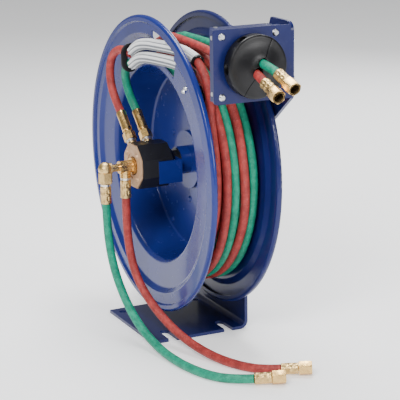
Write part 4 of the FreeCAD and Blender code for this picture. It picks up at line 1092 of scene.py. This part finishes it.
@dataclass
class Swivel:
    """Swivel block, stem, elbow and the hoses' fittings."""

    jumpers: tuple[float, float] = (-0.0595, -0.0335)
    seat_face: tuple[float, float] = (0.0198, 0.27987)
    seat_collar: tuple[float, float] = (0.0045, 0.0081)
    inlets: tuple[Point, ...] = ((-0.081, 0.237, 0.206), (-0.113, 0.231, 0.201))
    inlet_collar: float = 0.004
    plate_flats: float = 0.064
    plate_thickness: float = 0.003
    plate_place: float = -0.069

    def build(self) -> None:
        """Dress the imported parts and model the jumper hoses."""
        for colour, route in JUMPER_ROUTES.items():
            laid = millimetres(route)
            hose = Bench.spline(f"jumper_hose_{colour}_laid", laid, HOSE_DIAMETER / 2)
            STORE.dress(hose, HOSE_PAINT[colour])
            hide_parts(f"jumper_hose_{colour}")
            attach(hose, "spool")
            length = round(measured(Bench.lengthwise(laid)), 3)
            LOG.info("jumper hose %s: %.3f m", colour, length)
        self.fittings()
        self.flange()
        STORE.dress_nodes(["swivel_block", "swivel_neck"], Paint.BLACK)
        STORE.dress_nodes(["flange_screws"], Paint.PLATE)
        STORE.dress_nodes(["swivel_stem"], Paint.TURNED)
        STORE.dress_nodes(["inlet_elbow"], Paint.CAST)

    def fittings(self) -> None:
        """Model the fittings from the block to each hose."""
        slant = Vector((0.0, math.sqrt(0.5), math.sqrt(0.5)))
        jumpers = []
        for station in self.jumpers:
            face = Vector((station, *self.seat_face))
            seat = Bench.turned("seat", [
                (0.0, 0.0), (0.0068, 0.0), (0.0072, 0.0006), (0.0070, 0.0040),
                (0.0062, 0.0046), (0.0062, 0.0054), (0.0071, 0.0058), (0.0071, 0.0082),
                (0.0, 0.0082)], 48)
            hexagon = Bench.prism("hexagon", 6, 0.0168, 0.014, 0.008)
            neck = Bench.turned("neck", [(0.0, 0.0218), (0.0058, 0.0218), (0.0053, 0.0240),
                                         (0.0058, 0.0262), (0.0, 0.0262)], 48)
            grip = Ferrule("grip", 0.0076, 0.034, plain=True).build()
            Bench.move(grip, Matrix.Translation((0, 0, 0.060))
                       @ Matrix.Rotation(math.pi, 4, "X"))
            whole = Bench.joined("jumper_fitting", [seat, hexagon, neck, grip])
            Bench.move(whole, facing(face, slant))
            jumpers.append(whole)
        self.settle(Bench.joined("jumper_fittings_turned", jumpers), "jumper_fittings",
                    "spool", Paint.TURNED, Paint.COLLAR)
        inlets = []
        for station, top, end in self.inlets:
            collar = Bench.turned("collar", [
                (0.0, 0.0), (0.0070, 0.0), (0.0074, 0.0005), (0.0074, 0.0034),
                (0.0069, 0.0040), (0.0, 0.0040)], 64)
            Bench.move(collar, Matrix.Translation((station, 0, top))
                       @ Matrix.Rotation(math.pi, 4, "X"))
            grip = Ferrule("grip", 0.0081, top - end - self.inlet_collar).build()
            Bench.move(grip, Matrix.Translation((station, 0, end)))
            inlets += [collar, grip]
        self.settle(Bench.joined("inlet_fittings_crimped", inlets), "inlet_fittings",
                    "frame", Paint.CAST, Paint.COLLAR)

    def settle(self, piece: bpy.types.Object, node: str, body: str, paint: Paint,
               collar: Paint) -> None:
        """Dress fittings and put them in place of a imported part.

        Args:
            piece: the modelled fittings.
            node: part that they replace.
            body: body that they ride on.
            paint: finish of the brass.
            collar: finish of the collar next to the block or elbow.
        """
        Bench.smooth(piece, 38)
        STORE.dress(piece, paint)
        piece.data.materials.append(STORE.material(collar))
        for face in piece.data.polygons:
            if body == "frame":
                nearest = min(self.inlets, key=lambda inlet: abs(inlet[0] - face.center.x))
                plated = face.center.z > nearest[1] - self.inlet_collar
            else:
                rise = (face.center.y + face.center.z - sum(self.seat_face)) * math.sqrt(0.5)
                plated = self.seat_collar[0] < rise < self.seat_collar[1]
            face.material_index = int(plated)
        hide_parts(node)
        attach(piece, body)
        LOG.info("%s", node)

    def flange(self) -> None:
        """Model the eight-sided plate with the seat round the stem."""
        plate = Bench.prism("seat_plate", 8, self.plate_flats, self.plate_thickness)
        Bench.drill(plate, 0.0140, 0.010, (0, 0, -0.002), sides=72)
        Bench.drill(plate, 0.0190, 0.0022, (0, 0, -0.001), sides=72)
        Bench.bevel(plate, 0.0003, 2)
        Bench.move(plate, facing(Vector((self.plate_place, 0, AXLE.z)), Vector((1, 0, 0)))
                   @ Matrix.Rotation(math.radians(22.5), 4, "Z"))
        Bench.smooth(plate, 30)
        STORE.dress(plate, Paint.PLATE)
        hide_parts("swivel_flange")
        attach(plate, "spool")
        LOG.info("swivel flange")


# ---------------------------------------------------------------------- stand

@dataclass
class Stand:
    """Pedestal, axle and guide arm."""

    def build(self) -> None:
        """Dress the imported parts."""
        # The pedestal and guide arm take the blue coat's painted-shade copy.
        STORE.dress_nodes(["pedestal", "guide_arm"], Paint.BLUE_COAT_PAINTED_SHADE)
        STORE.dress_nodes(["axle", "axle_nut", "arm_bolts", "spring_arbor", "pawl_pin",
                           "pawl"], Paint.ZINC)
        STORE.dress_nodes(["pawl_spring"], Paint.OILED)


# ---------------------------------------------------------------------- guide

@dataclass
class HoseStop:
    """Split rubber cone, clamped on both hoses in front of the guide."""

    centre: Point = (0.009, -0.235, 0.4313)
    lean: float = 30.0
    radius: float = 0.0435
    depth: float = 0.019
    bolts: tuple[float, float] = (-0.022, 0.022)
    hoses: tuple[tuple[float, float], ...] = ((-0.0002, 0.00716), (-0.00044, -0.00684))

    def matrix(self) -> Matrix:
        """Frame with X across the parting line, Y along it and Z outwards."""
        lean = math.radians(self.lean)
        across = Vector((math.cos(lean), 0, -math.sin(lean)))
        upward = Vector((math.sin(lean), 0, math.cos(lean)))
        turn = Matrix((across, upward, Vector((0, -1, 0)))).transposed().to_4x4()
        return Matrix.Translation(Vector(self.centre)) @ turn

    def profile(self) -> list[tuple[float, float]]:
        """Corners of the rim and the dished face."""
        r, d = self.radius, self.depth
        return [(0.0, 0.0), (r - 0.002, 0.0), (r - 0.0005, 0.0006), (r, 0.0022),
                (r, d - 0.0032), (r - 0.0006, d - 0.0012), (r - 0.0022, d - 0.0002),
                (r - 0.0045, d), (r - 0.0085, d + 0.0002), (r - 0.0135, d + 0.0012),
                (r - 0.0190, d + 0.0029), (r - 0.0240, d + 0.0050), (0.0150, d + 0.0066),
                (0.0125, d + 0.0070), (0.0, d + 0.0070)]

    def half(self, side: int) -> None:
        """Model one half.

        Args:
            side: +1 for the half at +X across the parting line.
        """
        name = "right" if side > 0 else "left"
        piece = Bench.turned(f"rubber_stop_{name}", self.profile(), 96)
        Bench.pick(piece)
        bpy.ops.object.mode_set(mode="EDIT")
        bpy.ops.mesh.select_all(action="SELECT")
        bpy.ops.mesh.bisect(plane_co=(side * 0.0004, 0, 0), plane_no=(side, 0, 0),
                            use_fill=True, clear_inner=True)
        bpy.ops.object.mode_set(mode="OBJECT")
        for x, y in self.hoses:
            Bench.drill(piece, HOSE_DIAMETER / 2 + 0.0003, 0.05, (x, y, -0.01))
        for y in self.bolts:
            Bench.drill(piece, 0.0026, 0.06, (-0.03, y, self.depth / 2), (1, 0, 0), 24)
            Bench.drill(piece, 0.0062, 0.04, (side * 0.015, y, self.depth / 2),
                        (side, 0, 0), 32)
        Bench.bevel(piece, 0.0007, 3, 35.0)
        Bench.move(piece, self.matrix())
        Bench.smooth(piece, 32)
        STORE.dress(piece, Paint.RUBBER)
        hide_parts(f"stop_{name}")
        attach(piece, "frame")
        LOG.info("hose stop %s", name)


@dataclass
class HoseGuide:
    """Guide plate with its rollers and the rubber stop."""

    def build(self) -> None:
        """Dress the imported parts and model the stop."""
        for side in (1, -1):
            HoseStop().half(side)
        # The guide plate and roller frame take the blue coat's painted-shade copy.
        STORE.dress_nodes(["guide_plate", "roller_frame"], Paint.BLUE_COAT_PAINTED_SHADE)
        STORE.dress_nodes(["guide_screws", "roller_pins", "stop_bolts"], Paint.ZINC)
        STORE.dress_nodes([f"roller_{name}" for name in ("upper", "lower", "left", "right")],
                          Paint.NYLON)


def corners() -> list[list[float]]:
    """Lowest and highest corner of what is shown."""
    return [[round(value, 5) for value in corner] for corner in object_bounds()]


def main() -> None:
    """Build the scene."""
    logging.basicConfig(level=logging.INFO, format="%(name)s %(message)s")
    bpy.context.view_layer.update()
    studio = Studio()
    studio.camera()
    FreeHoses().build()
    Spool().build()
    Swivel().build()
    HoseGuide().build()
    Stand().build()
    studio.build()


if __name__ == "__main__":
    main()
